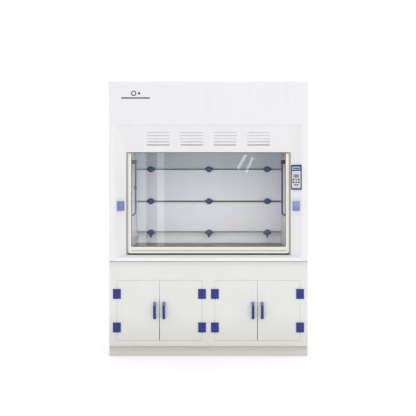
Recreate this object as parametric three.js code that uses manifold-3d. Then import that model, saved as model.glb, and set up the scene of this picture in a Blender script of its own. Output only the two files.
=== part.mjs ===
// A floor-standing fume hood welded from plastic sheet: base cabinet with four doors, work chamber with
// three baffles, a counterweighted glass sash, service rods, control box and two splash-proof sockets.
// Millimetres, +Z up. The origin is at the middle of the footprint, on the floor. The front faces -Y.
import * as THREE from 'three';
import { mergeVertices } from 'three/addons/utils/BufferGeometryUtils.js';
import Module from 'manifold-3d';

const wasm = await Module();
wasm.setup();

// ---------------------------------------------------------------- driving dimensions

const WIDTH = 1700;
const DEPTH = 850;
const BODY_HEIGHT = 2350;
const DUCT_RISE = 70;
const SHEET = 8;
const GAP = 0.3;
// Cutting shapes reach this far past the faces that they cut through.
const OVERSHOOT = 1;

const BENCH_Z = 815;
const SILL_FRONT_Z = 845;
const SILL_TOP_Z = 861;
const LOUVRE_BOTTOM_Z = 1750;
const HEADER_BOTTOM_Z = 1983;
const BEVEL_OUTER_X = 797;
const BEVEL_INNER_X = 711;
const BEVEL_RECESS = 55;
const HEADER_LIP_DEPTH = 25;
const LOUVRE_FLANGE = 40;

const SLOT_GROUP_CENTRES_X = [-432, -144, 144, 432];
const SLOT_LENGTH = 193;
const SLOT_HEIGHT = 9;
const SLOT_PITCH = 27;
const SLOT_ROWS = 5;
const SLOT_LOWEST_Z = 1813;

const CHAMBER_HALF_WIDTH = 725;
const CHAMBER_FRONT_OFFSET = 97;
const CHAMBER_TOP_Z = 1880;
const FLOOR_PAN_Z = 862;
const WORKTOP_TOP_Z = 886;
const WORKTOP_THICKNESS = 16;
const WORKTOP_CLEARANCE = 1;
const WORKTOP_BACK_CLEARANCE = 5;

const LIGHT_HALF_LENGTH = 300;
const LIGHT_Y = [-190, -60];
const LIGHT_HEIGHT = 45;
const LIGHT_TOP_HALF_DEPTH = 40;
const LIGHT_WINDOW_INSET = 12;

const BAFFLE_SHEET = 6;
const BAFFLE_HALF_WIDTH = 722;
const BAFFLE_OFFSET_FROM_BACK = 105;
const LOWER_BAFFLE_Z = [1011, 1301];
const MIDDLE_BAFFLE_Z = [1315, 1619];
const UPPER_BAFFLE_Z = [1633, 1850];

const PLINTH_HEIGHT = 89;
const PLINTH_SHEET = 20;
const PLINTH_RECESS = 10;
const CABINET_RECESS = 12;
const DOOR_THICKNESS = 19;
const DOOR_REVEAL = 1;
const DOOR_STOP_REACH = 12;
const DOOR_OPENING_Z = [134, 652];
const HINGE_LINE_OUTER_X = 784;
const HINGE_LINE_INNER_X = 55;
const DOOR_CLEARANCE = 1.5;
// A door's free edge is cut out of square, so the gap between a pair widens towards the floor.
const DOOR_EDGE_TAPER = 2.5;

const HINGE_HEIGHT = 83;
const HINGE_LEAF_WIDTH = 33.5;
const HINGE_LEAF_THICKNESS = 5;
const HINGE_BARREL_RADIUS = 6;
const HINGE_BARREL_CLEARANCE = 0.7;
const HINGE_PIN_RADIUS = 2.6;
const HINGE_BORE_RADIUS = 3;
const HINGE_AXIS_PROUD = 6.5;
const HINGE_CENTRES_Z = [247.6, 534.6];
const HINGE_SIDES = 20;
const PIN_SIDES = 16;
const PIPE_SIDES = 32;

const HANDLE_HEIGHT = 142;
const HANDLE_WIDTH = 22;
const HANDLE_DEPTH = 36;
const HANDLE_GRIP = 15;
const HANDLE_TOP_SLOPE = 24;
const HANDLE_TOP_LAND = 10;
const HANDLE_TOP_ROOT = 26;
const HANDLE_TOP_WEB = 34;
const HANDLE_FOOT_DEPTH = 24;
const HANDLE_FOOT_SLOPE = 12;
const HANDLE_FOOT_ROOT = 16;
const HANDLE_FOOT_WEB = 20;
const HANDLE_CENTRE_Z = 395;
const HANDLE_FROM_FREE_EDGE = 38.5;

const SASH_BOTTOM_Z = 863;
const SASH_TOP_Z = 1785;
const SASH_THICKNESS = 20;
const SASH_MID_Y_OFFSET = 79;
const SASH_HALF_WIDTH = 697;
const STILE_WIDTH = 27;
const BUMPER_HEIGHT = 12;
const BOTTOM_RAIL_HEIGHT = 57;
const SASH_CORNER_RADIUS = 15;
const TOP_RAIL_HEIGHT = 22;
const GLASS_THICKNESS = 6;
const GLASS_EDGE = 10;
const FINGER_GROOVE_RISE = [20, 28];
const FINGER_GROOVE_DEPTH = 4;
const TONGUE_REACH = 20;
const TONGUE_THICKNESS = 12;
const TRACK_TOP_Z = 2250;
const TRACK_LIP_X = 699;
const TRACK_WEB = 7;
const TRACK_FRONT_REACH = 15.5;
const TRACK_BACK_REACH = 17;
const TRACK_GROOVE_PLAY = 2;

const PULLEY_CENTRE_X = 725;
const PULLEY_CENTRE_Z = 2296;
const ROPE_RADIUS = 35;
const PULLEY_FLANGE_RADIUS = 39;
const PULLEY_WIDTH = 16;
const PULLEY_FLANGE_THICKNESS = 2;
const PULLEY_GROOVE_PLAY = 1;
const PULLEY_HOLES = { count: 5, radius: 6, circle: 20 };
const PULLEY_SIDES = 28;
const HOLE_SIDES = 10;
const AXLE_RADIUS = 6;
const AXLE_PLAY = 0.5;
const BEAM_STAND_OFF = 4;
const BEAM_THICKNESS = 20;
const BEAM_HALF_HEIGHT = 20;
const CABLE_RADIUS = 2;
const CABLE_TURN_STEPS = 12;
const WEIGHT_TOP_Z = 2150;
const WEIGHT_WIDTH = 46;
const WEIGHT_DEPTH = 54;

const DUCT_BORE_RADIUS = 122;
const DUCT_OUTER_RADIUS = 130;
const DUCT_FLANGE_RADIUS = 155;
const DUCT_CENTRE_Y = 255;

const SOCKET_WIDTH = 62;
const SOCKET_HEIGHT = 83;
const SOCKET_CENTRE_Z = 1287;
const SOCKET_PLATE_DEPTH = 10;
const SOCKET_COVER_DEPTH = 16;
const SOCKET_CORNER = 4;
const SOCKET_COVER_WALL = 2;
const SOCKET_FACE_BORDER = 7;
const SOCKET_FACE_RECESS = 3;
// How far a socket or the control box sits from the middle of its slanted face, towards the outside.
const SOCKET_OUTWARD = 8;
const CONTROL_OUTWARD = 4;
const CONTROL_CENTRE_Z = 1533;
const CONTROL_HEIGHT = 212;
const CONTROL_WIDTH = 94;
const CONTROL_DEPTH = 10;
const CONTROL_CORNER = 7;
const CONTROL_BORDER = 6;
const CONTROL_RECESS = 2;

const ROD_RADIUS = 8;
const ROD_OFF_WALL = 44;
const ROD_Y = -15;
const ROD_Z = [1178, 1700];
const ROD_BRACKET_HEIGHT = 36;
const ROD_BRACKET_HALF_DEPTH = 17;
const ROD_BRACKET_WALL = 4;
const ROD_SIDES = 12;
const BEND_STEPS = 8;

// kilograms per cubic millimetre
const DENSITY = { glass: 2500e-9, plastic: 1100e-9, steel: 7850e-9 };

// ---------------------------------------------------------------- worked-out places

const HALF_WIDTH = WIDTH / 2;
const BEVEL_RUN = BEVEL_OUTER_X - BEVEL_INNER_X;
const BEVEL_LENGTH = Math.hypot(BEVEL_RUN, BEVEL_RECESS);
const BEVEL_ANGLE = Math.atan2(BEVEL_RECESS, BEVEL_RUN);
// The door handles stand this far in front of the casing, and the origin is midway between them
// and the back.
const HANDLE_PROUD = HANDLE_DEPTH + GAP - CABINET_RECESS;
const FRONT = (HANDLE_PROUD - DEPTH) / 2;
const BACK = FRONT + DEPTH;
const BEHIND_SHEET = FRONT + SHEET + GAP;
const CHAMBER_FRONT = FRONT + CHAMBER_FRONT_OFFSET;
const CABINET_FRONT = FRONT + CABINET_RECESS;
const SASH_Y = FRONT + SASH_MID_Y_OFFSET;
const TRACK_FRONT = SASH_Y - TRACK_FRONT_REACH;
const BAFFLE_Y = BACK - BAFFLE_OFFSET_FROM_BACK;
const HINGE_AXIS_Y = CABINET_FRONT - HINGE_AXIS_PROUD;
const GLASS_X = SASH_HALF_WIDTH - STILE_WIDTH + GLASS_EDGE;
const FRAME_LOW_Z = SASH_BOTTOM_Z + BUMPER_HEIGHT;
const GLASS_Z = [FRAME_LOW_Z + BOTTOM_RAIL_HEIGHT - GLASS_EDGE, SASH_TOP_Z - TOP_RAIL_HEIGHT + GLASS_EDGE];
// The louvre panel's outer face runs from the header's lower edge down to the sash opening.
const LOUVRE_TOP_Y = BEHIND_SHEET;
const LOUVRE_BOTTOM_Y = FRONT + BEVEL_RECESS;
const BEVEL_MIDDLE = { x: (BEVEL_OUTER_X + BEVEL_INNER_X) / 2, y: FRONT + BEVEL_RECESS / 2 };
const SIDES = { left: -1, right: 1 };

// ---------------------------------------------------------------- finishes

const FINISHES = {
  whitePlastic: { color: 0xeeeef0, roughness: 0.35, metalness: 0 },
  basePlastic: { color: 0xe6e6e3, roughness: 0.4, metalness: 0 },
  plinthPlastic: { color: 0xc5c0b6, roughness: 0.6, metalness: 0 },
  bluePlastic: { color: 0x2d419b, roughness: 0.35, metalness: 0 },
  darkBluePlastic: { color: 0x1e2d6e, roughness: 0.35, metalness: 0 },
  lilacPlastic: { color: 0x879bdc, roughness: 0.2, metalness: 0 },
  sashPlastic: { color: 0xe8e4d4, roughness: 0.4, metalness: 0 },
  trackPlastic: { color: 0x6e645f, roughness: 0.5, metalness: 0 },
  chamberPlastic: { color: 0xd8d9df, roughness: 0.35, metalness: 0 },
  bafflePlastic: { color: 0xc3c3ca, roughness: 0.35, metalness: 0 },
  worktopStone: { color: 0x5f585c, roughness: 0.5, metalness: 0 },
  clearGlass: { color: 0xcfe2e6, roughness: 0.05, metalness: 0 },
  greySteel: { color: 0x6b6e72, roughness: 0.5, metalness: 1 },
  brightSteel: { color: 0xb9bcc0, roughness: 0.3, metalness: 1 },
};

// ---------------------------------------------------------------- solids

function solidOf(geometry) {
  geometry.deleteAttribute('normal');
  geometry.deleteAttribute('uv');
  const merged = mergeVertices(geometry, 1e-4);
  const vertProperties = new Float32Array(merged.attributes.position.array);
  const triVerts = new Uint32Array(merged.index.array);
  return new wasm.Manifold(new wasm.Mesh({ numProp: 3, vertProperties, triVerts }));
}

function geometryOf(solid) {
  const { vertProperties, triVerts } = solid.getMesh();
  const geometry = new THREE.BufferGeometry();
  geometry.setAttribute('position', new THREE.BufferAttribute(vertProperties, 3));
  geometry.setIndex(new THREE.BufferAttribute(triVerts, 1));
  geometry.computeVertexNormals();
  return geometry;
}

function joined(...solids) {
  return solids.reduce((whole, piece) => whole.add(piece));
}

function box([x0, x1], [y0, y1], [z0, z1]) {
  const geometry = new THREE.BoxGeometry(x1 - x0, y1 - y0, z1 - z0);
  geometry.translate((x0 + x1) / 2, (y0 + y1) / 2, (z0 + z1) / 2);
  return solidOf(geometry);
}

// A rounded-corner block lying in the XZ plane, `depth` thick towards -Y from y = 0, centred on x and z.
function roundedBlock(width, height, depth, radius) {
  const [x, z] = [width / 2, height / 2];
  const shape = new THREE.Shape();
  shape.moveTo(-x + radius, -z);
  shape.lineTo(x - radius, -z);
  shape.absarc(x - radius, -z + radius, radius, -Math.PI / 2, 0);
  shape.lineTo(x, z - radius);
  shape.absarc(x - radius, z - radius, radius, 0, Math.PI / 2);
  shape.lineTo(-x + radius, z);
  shape.absarc(-x + radius, z - radius, radius, Math.PI / 2, Math.PI);
  shape.lineTo(-x, -z + radius);
  shape.absarc(-x + radius, -z + radius, radius, Math.PI, Math.PI * 1.5);
  const geometry = new THREE.ExtrudeGeometry(shape, { depth, bevelEnabled: false, curveSegments: 4 });
  geometry.rotateX(Math.PI / 2);
  return solidOf(geometry);
}

function mirroredX(solid, side) {
  return side > 0 ? solid : solid.mirror([1, 0, 0]);
}

function mirroredPlan(points) {
  return points.map(([x, y]) => [-x, y]).reverse();
}

function outline(points) {
  return new THREE.Shape(points.map(([a, b]) => new THREE.Vector2(a, b)));
}

// An outline in plan, x and y, standing between two heights.
function planPrism(points, [z0, z1]) {
  const geometry = new THREE.ExtrudeGeometry(outline(points), { depth: z1 - z0, bevelEnabled: false });
  geometry.translate(0, 0, z0);
  return solidOf(geometry);
}

// A side profile, y and z, running between two places on x.
function sideProfile(points, [x0, x1]) {
  const geometry = new THREE.ExtrudeGeometry(outline(points), { depth: x1 - x0, bevelEnabled: false });
  geometry.applyMatrix4(new THREE.Matrix4().set(0, 0, 1, x0, 1, 0, 0, 0, 0, 1, 0, 0, 0, 0, 0, 1));
  return solidOf(geometry);
}

// An outline seen from the front, x and z, running between two places on y.
function frontPrism(points, [y0, y1]) {
  const geometry = new THREE.ExtrudeGeometry(outline(points), { depth: y1 - y0, bevelEnabled: false });
  geometry.rotateX(Math.PI / 2);
  geometry.translate(0, y1, 0);
  return solidOf(geometry);
}

function uprightCylinder(radius, [x, y], [z0, z1], sides = 24) {
  const geometry = new THREE.CylinderGeometry(radius, radius, z1 - z0, sides);
  geometry.rotateX(Math.PI / 2);
  geometry.translate(x, y, (z0 + z1) / 2);
  return solidOf(geometry);
}

function yCylinder(radius, [x, z], [y0, y1], sides = 16) {
  const geometry = new THREE.CylinderGeometry(radius, radius, y1 - y0, sides);
  geometry.translate(x, (y0 + y1) / 2, z);
  return solidOf(geometry);
}

// A route through listed points, stepped from point to point.
class PointRoute extends THREE.Curve {
  constructor(points) {
    super();
    this.points = points.map(([x, y, z]) => new THREE.Vector3(x, y, z));
  }

  getPoint(t, target = new THREE.Vector3()) {
    const place = Math.min(Math.max(t, 0), 1) * (this.points.length - 1);
    const index = Math.min(Math.floor(place), this.points.length - 2);
    return target.lerpVectors(this.points[index], this.points[index + 1], place - index);
  }

  getUtoTmapping(u) {
    return u;
  }
}

function sweptRound(radius, points, sides = 8) {
  const section = new THREE.Shape();
  section.absarc(0, 0, radius, 0, Math.PI * 2);
  const geometry = new THREE.ExtrudeGeometry(section, {
    steps: points.length - 1,
    extrudePath: new PointRoute(points),
    curveSegments: sides / 2,
  });
  return solidOf(geometry);
}

// Points of an arc in the XZ plane, angles in radians from +X towards +Z.
function arcPoints([x, z], y, radius, from, to, count) {
  return Array.from({ length: count + 1 }, (_, step) => {
    const angle = from + ((to - from) * step) / count;
    return [x + radius * Math.cos(angle), y, z + radius * Math.sin(angle)];
  });
}

// ---------------------------------------------------------------- the assembly

const fumeHood = new THREE.Group();

function addPart(name, solid, finish, parent = fumeHood) {
  const material = new THREE.MeshStandardMaterial(FINISHES[finish]);
  const mesh = new THREE.Mesh(geometryOf(solid), material);
  mesh.name = name;
  parent.add(mesh);
  return mesh;
}

// A group standing on a post's slanted face: its own -Y points out of the face.
function bevelGroup(side, centreZ, outward) {
  const group = new THREE.Group();
  const x = BEVEL_MIDDLE.x + outward * Math.cos(BEVEL_ANGLE);
  const y = BEVEL_MIDDLE.y - outward * Math.sin(BEVEL_ANGLE);
  group.position.set(side * x, y, centreZ);
  group.rotation.z = -side * BEVEL_ANGLE;
  fumeHood.add(group);
  return group;
}

// ---------------------------------------------------------------- plinth and base cabinet

function makePlinth() {
  const front = CABINET_FRONT + PLINTH_RECESS;
  const ring = box([-HALF_WIDTH, HALF_WIDTH], [front, BACK], [0, PLINTH_HEIGHT - GAP]);
  const inside = box(
    [-HALF_WIDTH + PLINTH_SHEET, HALF_WIDTH - PLINTH_SHEET],
    [front + PLINTH_SHEET, BACK - PLINTH_SHEET],
    [-OVERSHOOT, PLINTH_HEIGHT],
  );
  addPart('plinth', ring.subtract(inside), 'plinthPlastic');
}

function makeBaseCabinet() {
  const [openLow, openHigh] = DOOR_OPENING_Z;
  const frameBack = CABINET_FRONT + DOOR_THICKNESS + DOOR_REVEAL;
  const stopBack = frameBack + SHEET;
  const shell = box([-HALF_WIDTH, HALF_WIDTH], [CABINET_FRONT, BACK], [PLINTH_HEIGHT, BENCH_Z]);
  const compartments = [-1, 1].map((side) => {
    const xs = [side * SHEET / 2, side * (HALF_WIDTH - SHEET)].sort((a, b) => a - b);
    return box(xs, [stopBack, BACK - SHEET], [PLINTH_HEIGHT + SHEET, BENCH_Z - SHEET]);
  });
  const doorways = [-1, 1].map((side) => {
    const xs = [side * HINGE_LINE_INNER_X, side * HINGE_LINE_OUTER_X].sort((a, b) => a - b);
    const doorway = box(xs, [CABINET_FRONT - OVERSHOOT, frameBack], [openLow, openHigh]);
    const inner = xs.map((x, end) => x + (end === 0 ? DOOR_STOP_REACH : -DOOR_STOP_REACH));
    const pastStops = box(
      inner,
      [frameBack - OVERSHOOT, stopBack + OVERSHOOT],
      [openLow + DOOR_STOP_REACH, openHigh - DOOR_STOP_REACH],
    );
    return doorway.add(pastStops);
  });
  addPart('base_cabinet', shell.subtract(joined(...compartments, ...doorways)), 'basePlastic');
}

// ---------------------------------------------------------------- doors, handles and hinges

function doorSolid(width) {
  const [low, high] = [DOOR_OPENING_Z[0] + DOOR_CLEARANCE, DOOR_OPENING_Z[1] - DOOR_CLEARANCE];
  const face = [[0, low], [width - DOOR_EDGE_TAPER, low], [width, high], [0, high]];
  return frontPrism(face, [0, DOOR_THICKNESS]);
}

// The bow stands on y = 0 and reaches towards -Y; its upper end slopes down to the door.
function handleSolid() {
  const half = HANDLE_HEIGHT / 2;
  const behindGrip = -HANDLE_DEPTH + HANDLE_GRIP;
  const profile = [
    [0, -half], [-HANDLE_FOOT_DEPTH, -half], [-HANDLE_DEPTH, -half + HANDLE_FOOT_SLOPE],
    [-HANDLE_DEPTH, half - HANDLE_TOP_SLOPE], [-HANDLE_TOP_LAND, half], [0, half],
    [0, half - HANDLE_TOP_ROOT], [behindGrip, half - HANDLE_TOP_WEB],
    [behindGrip, -half + HANDLE_FOOT_WEB], [0, -half + HANDLE_FOOT_ROOT],
  ];
  return sideProfile(profile.reverse(), [-HANDLE_WIDTH / 2, HANDLE_WIDTH / 2]);
}

// Both leaves are drawn about the pin axis, with the leaf towards +X.
function hingeLeaf(knuckles, backY) {
  const half = HINGE_HEIGHT / 2;
  const leaf = box([0, HINGE_LEAF_WIDTH], [backY - HINGE_LEAF_THICKNESS, backY], [-half, half]);
  const room = HINGE_BARREL_RADIUS + HINGE_BARREL_CLEARANCE;
  const barrelRoom = uprightCylinder(room, [0, 0], [-half - OVERSHOOT, half + OVERSHOOT], HINGE_SIDES);
  const lugs = knuckles.map(([z0, z1]) => joined(
    uprightCylinder(HINGE_BARREL_RADIUS, [0, 0], [z0, z1], HINGE_SIDES),
    box([0, HINGE_LEAF_WIDTH / 2], [backY - HINGE_LEAF_THICKNESS, backY], [z0, z1]),
  ));
  return leaf.subtract(barrelRoom).add(joined(...lugs));
}

function makeHinge(name, hingeX, centreZ, doorSide) {
  const half = HINGE_HEIGHT / 2;
  const middleHalf = half / 3;
  const leafBack = CABINET_FRONT - GAP - HINGE_AXIS_Y;
  const outerKnuckles = [[-half, -middleHalf - GAP], [middleHalf + GAP, half]];
  const pin = uprightCylinder(HINGE_PIN_RADIUS, [0, 0], [-half, half], PIN_SIDES);
  const bore = uprightCylinder(HINGE_BORE_RADIUS, [0, 0], [-half, half], PIN_SIDES);
  const frameLeaf = hingeLeaf(outerKnuckles, leafBack).add(pin);
  const doorLeaf = hingeLeaf([[-middleHalf, middleHalf]], leafBack).subtract(bore);
  const place = new THREE.Group();
  place.position.set(hingeX, HINGE_AXIS_Y, centreZ);
  fumeHood.add(place);
  const frameMesh = addPart(`${name}_frame_leaf`, mirroredX(frameLeaf, -doorSide), 'bluePlastic', place);
  const doorMesh = addPart(`${name}_door_leaf`, mirroredX(doorLeaf, doorSide), 'bluePlastic', place);
  return [frameMesh, doorMesh];
}

function makeDoors() {
  const width = (HINGE_LINE_OUTER_X - HINGE_LINE_INNER_X - 3 * DOOR_CLEARANCE) / 2;
  const doors = [
    { name: 'door_1', hingeX: -HINGE_LINE_OUTER_X, side: 1 },
    { name: 'door_2', hingeX: -HINGE_LINE_INNER_X, side: -1 },
    { name: 'door_3', hingeX: HINGE_LINE_INNER_X, side: 1 },
    { name: 'door_4', hingeX: HINGE_LINE_OUTER_X, side: -1 },
  ];
  for (const { name, hingeX, side } of doors) {
    const pair = new THREE.Group();
    pair.position.set(hingeX + side * DOOR_CLEARANCE, CABINET_FRONT, 0);
    fumeHood.add(pair);
    addPart(name, mirroredX(doorSolid(width), side), 'basePlastic', pair);
    const handle = addPart(`${name}_handle`, handleSolid(), 'bluePlastic', pair);
    handle.position.set(side * (width - HANDLE_FROM_FREE_EDGE), -GAP, HANDLE_CENTRE_Z);
    HINGE_CENTRES_Z.forEach((z, index) => {
      makeHinge(`${name}_hinge_${index + 1}`, hingeX, z, side);
    });
  }
}

// ---------------------------------------------------------------- outer casing

function makeCasing() {
  const low = BENCH_Z + GAP;
  const high = BODY_HEIGHT - SHEET - GAP;
  for (const [name, side] of Object.entries(SIDES)) {
    const xs = [side * (HALF_WIDTH - SHEET), side * HALF_WIDTH].sort((a, b) => a - b);
    addPart(`${name}_side_panel`, box(xs, [BEHIND_SHEET, BACK], [low, high]), 'whitePlastic');
  }
  const inner = HALF_WIDTH - SHEET - GAP;
  addPart('back_panel', box([-inner, inner], [BACK - SHEET, BACK], [low, high]), 'whitePlastic');

  const roofSheet = box([-HALF_WIDTH, HALF_WIDTH], [BEHIND_SHEET, BACK], [BODY_HEIGHT - SHEET, BODY_HEIGHT]);
  const ductHole = uprightCylinder(
    DUCT_OUTER_RADIUS + GAP,
    [0, DUCT_CENTRE_Y],
    [BODY_HEIGHT - 2 * SHEET, BODY_HEIGHT + OVERSHOOT],
    PIPE_SIDES,
  );
  addPart('roof_panel', roofSheet.subtract(ductHole), 'whitePlastic');

  const face = box([-HALF_WIDTH, HALF_WIDTH], [FRONT, FRONT + SHEET], [HEADER_BOTTOM_Z, BODY_HEIGHT]);
  const lipBack = FRONT + SHEET + HEADER_LIP_DEPTH;
  const stiffener = box([-inner, inner], [FRONT + SHEET - OVERSHOOT, lipBack], [high - SHEET, high]);
  addPart('header_panel', face.add(stiffener), 'whitePlastic');
}

function makeExhaustDuct() {
  const profile = [
    [DUCT_BORE_RADIUS, CHAMBER_TOP_Z + GAP],
    [DUCT_FLANGE_RADIUS, CHAMBER_TOP_Z + GAP],
    [DUCT_FLANGE_RADIUS, CHAMBER_TOP_Z + GAP + SHEET],
    [DUCT_OUTER_RADIUS, CHAMBER_TOP_Z + GAP + SHEET],
    [DUCT_OUTER_RADIUS, BODY_HEIGHT + DUCT_RISE],
    [DUCT_BORE_RADIUS, BODY_HEIGHT + DUCT_RISE],
    [DUCT_BORE_RADIUS, CHAMBER_TOP_Z + GAP],
  ].map(([r, z]) => new THREE.Vector2(r, z));
  const geometry = new THREE.LatheGeometry(profile, PIPE_SIDES);
  geometry.rotateX(Math.PI / 2);
  const duct = addPart('exhaust_duct', solidOf(geometry), 'whitePlastic');
  duct.position.y = DUCT_CENTRE_Y;
}

// ---------------------------------------------------------------- front: posts, louvre panel and sill

// Where the inner face of a post's slanted sheet is, at a depth y.
function bevelInnerX(y) {
  const corner = SHEET * Math.tan(BEVEL_ANGLE / 2);
  return BEVEL_OUTER_X + corner - ((y - FRONT - SHEET) * BEVEL_RUN) / BEVEL_RECESS;
}

function makePosts() {
  const [alongX, alongY] = [-Math.cos(BEVEL_ANGLE), Math.sin(BEVEL_ANGLE)];
  const [inwardX, inwardY] = [Math.sin(BEVEL_ANGLE) * SHEET, Math.cos(BEVEL_ANGLE) * SHEET];
  const end = [BEVEL_OUTER_X + alongX * BEVEL_LENGTH, FRONT + alongY * BEVEL_LENGTH];
  const plan = [
    [HALF_WIDTH, FRONT], [HALF_WIDTH, FRONT + SHEET], [bevelInnerX(FRONT + SHEET), FRONT + SHEET],
    [end[0] + inwardX, end[1] + inwardY], end, [BEVEL_OUTER_X, FRONT],
  ];
  const post = planPrism(plan.reverse(), [BENCH_Z + GAP, HEADER_BOTTOM_Z - GAP]);
  const behindLouvre = sideProfile(
    [
      [LOUVRE_BOTTOM_Y - GAP, LOUVRE_BOTTOM_Z - GAP], [0, LOUVRE_BOTTOM_Z - GAP],
      [0, HEADER_BOTTOM_Z + OVERSHOOT], [LOUVRE_TOP_Y - GAP, HEADER_BOTTOM_Z + OVERSHOOT],
      [LOUVRE_TOP_Y - GAP, HEADER_BOTTOM_Z],
    ],
    [0, HALF_WIDTH + OVERSHOOT],
  );
  const trimmed = post.subtract(behindLouvre);
  for (const [name, side] of Object.entries(SIDES)) {
    addPart(`${name}_post`, mirroredX(trimmed, side), 'whitePlastic');
  }
}

function makeLouvrePanel() {
  const flangeTop = HEADER_BOTTOM_Z + LOUVRE_FLANGE;
  const sheet = sideProfile(
    [
      [LOUVRE_BOTTOM_Y, LOUVRE_BOTTOM_Z], [LOUVRE_BOTTOM_Y + SHEET, LOUVRE_BOTTOM_Z],
      [LOUVRE_TOP_Y + SHEET, HEADER_BOTTOM_Z], [LOUVRE_TOP_Y + SHEET, flangeTop],
      [LOUVRE_TOP_Y, flangeTop], [LOUVRE_TOP_Y, HEADER_BOTTOM_Z],
    ],
    [-HALF_WIDTH, HALF_WIDTH],
  );
  const halfPlan = [FRONT, CHAMBER_FRONT].map((y) => [bevelInnerX(y), y]);
  const betweenPosts = planPrism([...halfPlan, ...mirroredPlan(halfPlan)], [0, BODY_HEIGHT]);
  const slots = [];
  for (const x of SLOT_GROUP_CENTRES_X) {
    for (let row = 0; row < SLOT_ROWS; row += 1) {
      const z = SLOT_LOWEST_Z + row * SLOT_PITCH;
      const xs = [x - SLOT_LENGTH / 2, x + SLOT_LENGTH / 2];
      slots.push(box(xs, [FRONT, CHAMBER_FRONT], [z - SLOT_HEIGHT / 2, z + SLOT_HEIGHT / 2]));
    }
  }
  const panel = sheet.intersect(betweenPosts).subtract(joined(...slots));
  addPart('louvre_panel', panel, 'whitePlastic');
}

function makeFrontSill() {
  const back = CHAMBER_FRONT - GAP;
  const low = BENCH_Z + GAP;
  const bevelFoot = FRONT + BEVEL_RECESS;
  const outer = [
    [FRONT, low], [back, low], [back, SILL_TOP_Z], [bevelFoot, SILL_TOP_Z], [FRONT, SILL_FRONT_Z],
  ];
  const slope = Math.atan2(SILL_TOP_Z - SILL_FRONT_Z, BEVEL_RECESS);
  const inner = [
    [FRONT + SHEET, low + SHEET], [back - SHEET, low + SHEET], [back - SHEET, SILL_TOP_Z - SHEET],
    [bevelFoot + SHEET * Math.tan(slope / 2), SILL_TOP_Z - SHEET],
    [FRONT + SHEET, SILL_FRONT_Z - SHEET * (1 / Math.cos(slope) - Math.tan(slope))],
  ];
  const run = [-HALF_WIDTH, HALF_WIDTH];
  const pastEnds = [-HALF_WIDTH - OVERSHOOT, HALF_WIDTH + OVERSHOOT];
  const channel = sideProfile(outer, run).subtract(sideProfile(inner, pastEnds));
  const bevelInside = bevelFoot + SHEET;
  const halfPlan = [
    [BEVEL_OUTER_X - GAP, FRONT - OVERSHOOT], [BEVEL_OUTER_X - GAP, FRONT], [BEVEL_INNER_X - GAP, bevelFoot],
    [BEVEL_INNER_X - GAP, bevelInside], [CHAMBER_HALF_WIDTH - GAP, bevelInside],
    [CHAMBER_HALF_WIDTH - GAP, back + OVERSHOOT],
  ];
  const betweenPosts = planPrism([...halfPlan, ...mirroredPlan(halfPlan)], [0, BODY_HEIGHT]);
  addPart('front_sill', channel.intersect(betweenPosts), 'whitePlastic');
}

// ---------------------------------------------------------------- work chamber

function makeLiner() {
  const wallFront = TRACK_FRONT;
  const back = BACK - SHEET - GAP;
  const low = BENCH_Z + GAP;
  const walls = [-1, 1].map((side) => {
    const xs = [side * CHAMBER_HALF_WIDTH, side * (CHAMBER_HALF_WIDTH + SHEET)].sort((a, b) => a - b);
    return box(xs, [wallFront, back], [low, CHAMBER_TOP_Z]);
  });
  const across = [-CHAMBER_HALF_WIDTH - OVERSHOOT, CHAMBER_HALF_WIDTH + OVERSHOOT];
  const floorPan = box(across, [CHAMBER_FRONT, back], [FLOOR_PAN_Z, FLOOR_PAN_Z + SHEET - GAP]);
  const ceiling = box(across, [CHAMBER_FRONT, back], [CHAMBER_TOP_Z - SHEET, CHAMBER_TOP_Z]);
  const throughCeiling = [CHAMBER_TOP_Z - 2 * SHEET, CHAMBER_TOP_Z + OVERSHOOT];
  const ductHole = uprightCylinder(
    DUCT_BORE_RADIUS, [0, DUCT_CENTRE_Y], throughCeiling, PIPE_SIDES,
  );
  const lightWindow = box(
    [-LIGHT_HALF_LENGTH + LIGHT_WINDOW_INSET, LIGHT_HALF_LENGTH - LIGHT_WINDOW_INSET],
    [LIGHT_Y[0] + LIGHT_WINDOW_INSET, LIGHT_Y[1] - LIGHT_WINDOW_INSET],
    throughCeiling,
  );
  const welded = joined(...walls, floorPan, ceiling).subtract(ductHole.add(lightWindow));
  addPart('chamber_liner', welded, 'chamberPlastic');
}

function makeLightFitting() {
  const low = CHAMBER_TOP_Z + GAP;
  const high = low + LIGHT_HEIGHT;
  const middle = (LIGHT_Y[0] + LIGHT_Y[1]) / 2;
  const profile = [
    [LIGHT_Y[0], low], [LIGHT_Y[1], low], [LIGHT_Y[1], low + SHEET],
    [middle + LIGHT_TOP_HALF_DEPTH, high], [middle - LIGHT_TOP_HALF_DEPTH, high], [LIGHT_Y[0], low + SHEET],
  ];
  addPart('light_fitting', sideProfile(profile, [-LIGHT_HALF_LENGTH, LIGHT_HALF_LENGTH]), 'whitePlastic');
}

function makeBaffles() {
  const across = [-BAFFLE_HALF_WIDTH, BAFFLE_HALF_WIDTH];
  const depth = [BAFFLE_Y, BAFFLE_Y + BAFFLE_SHEET];
  addPart('lower_baffle', box(across, depth, LOWER_BAFFLE_Z), 'bafflePlastic');
  addPart('middle_baffle', box(across, depth, MIDDLE_BAFFLE_Z), 'bafflePlastic');
  const [low, high] = UPPER_BAFFLE_Z;
  const reach = high - low;
  const acrossSheet = BAFFLE_SHEET * Math.SQRT2;
  const profile = [
    [BAFFLE_Y, low], [BAFFLE_Y + acrossSheet, low],
    [BAFFLE_Y + acrossSheet - reach, high], [BAFFLE_Y - reach, high],
  ];
  addPart('upper_baffle', sideProfile(profile, across), 'bafflePlastic');
}

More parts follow.
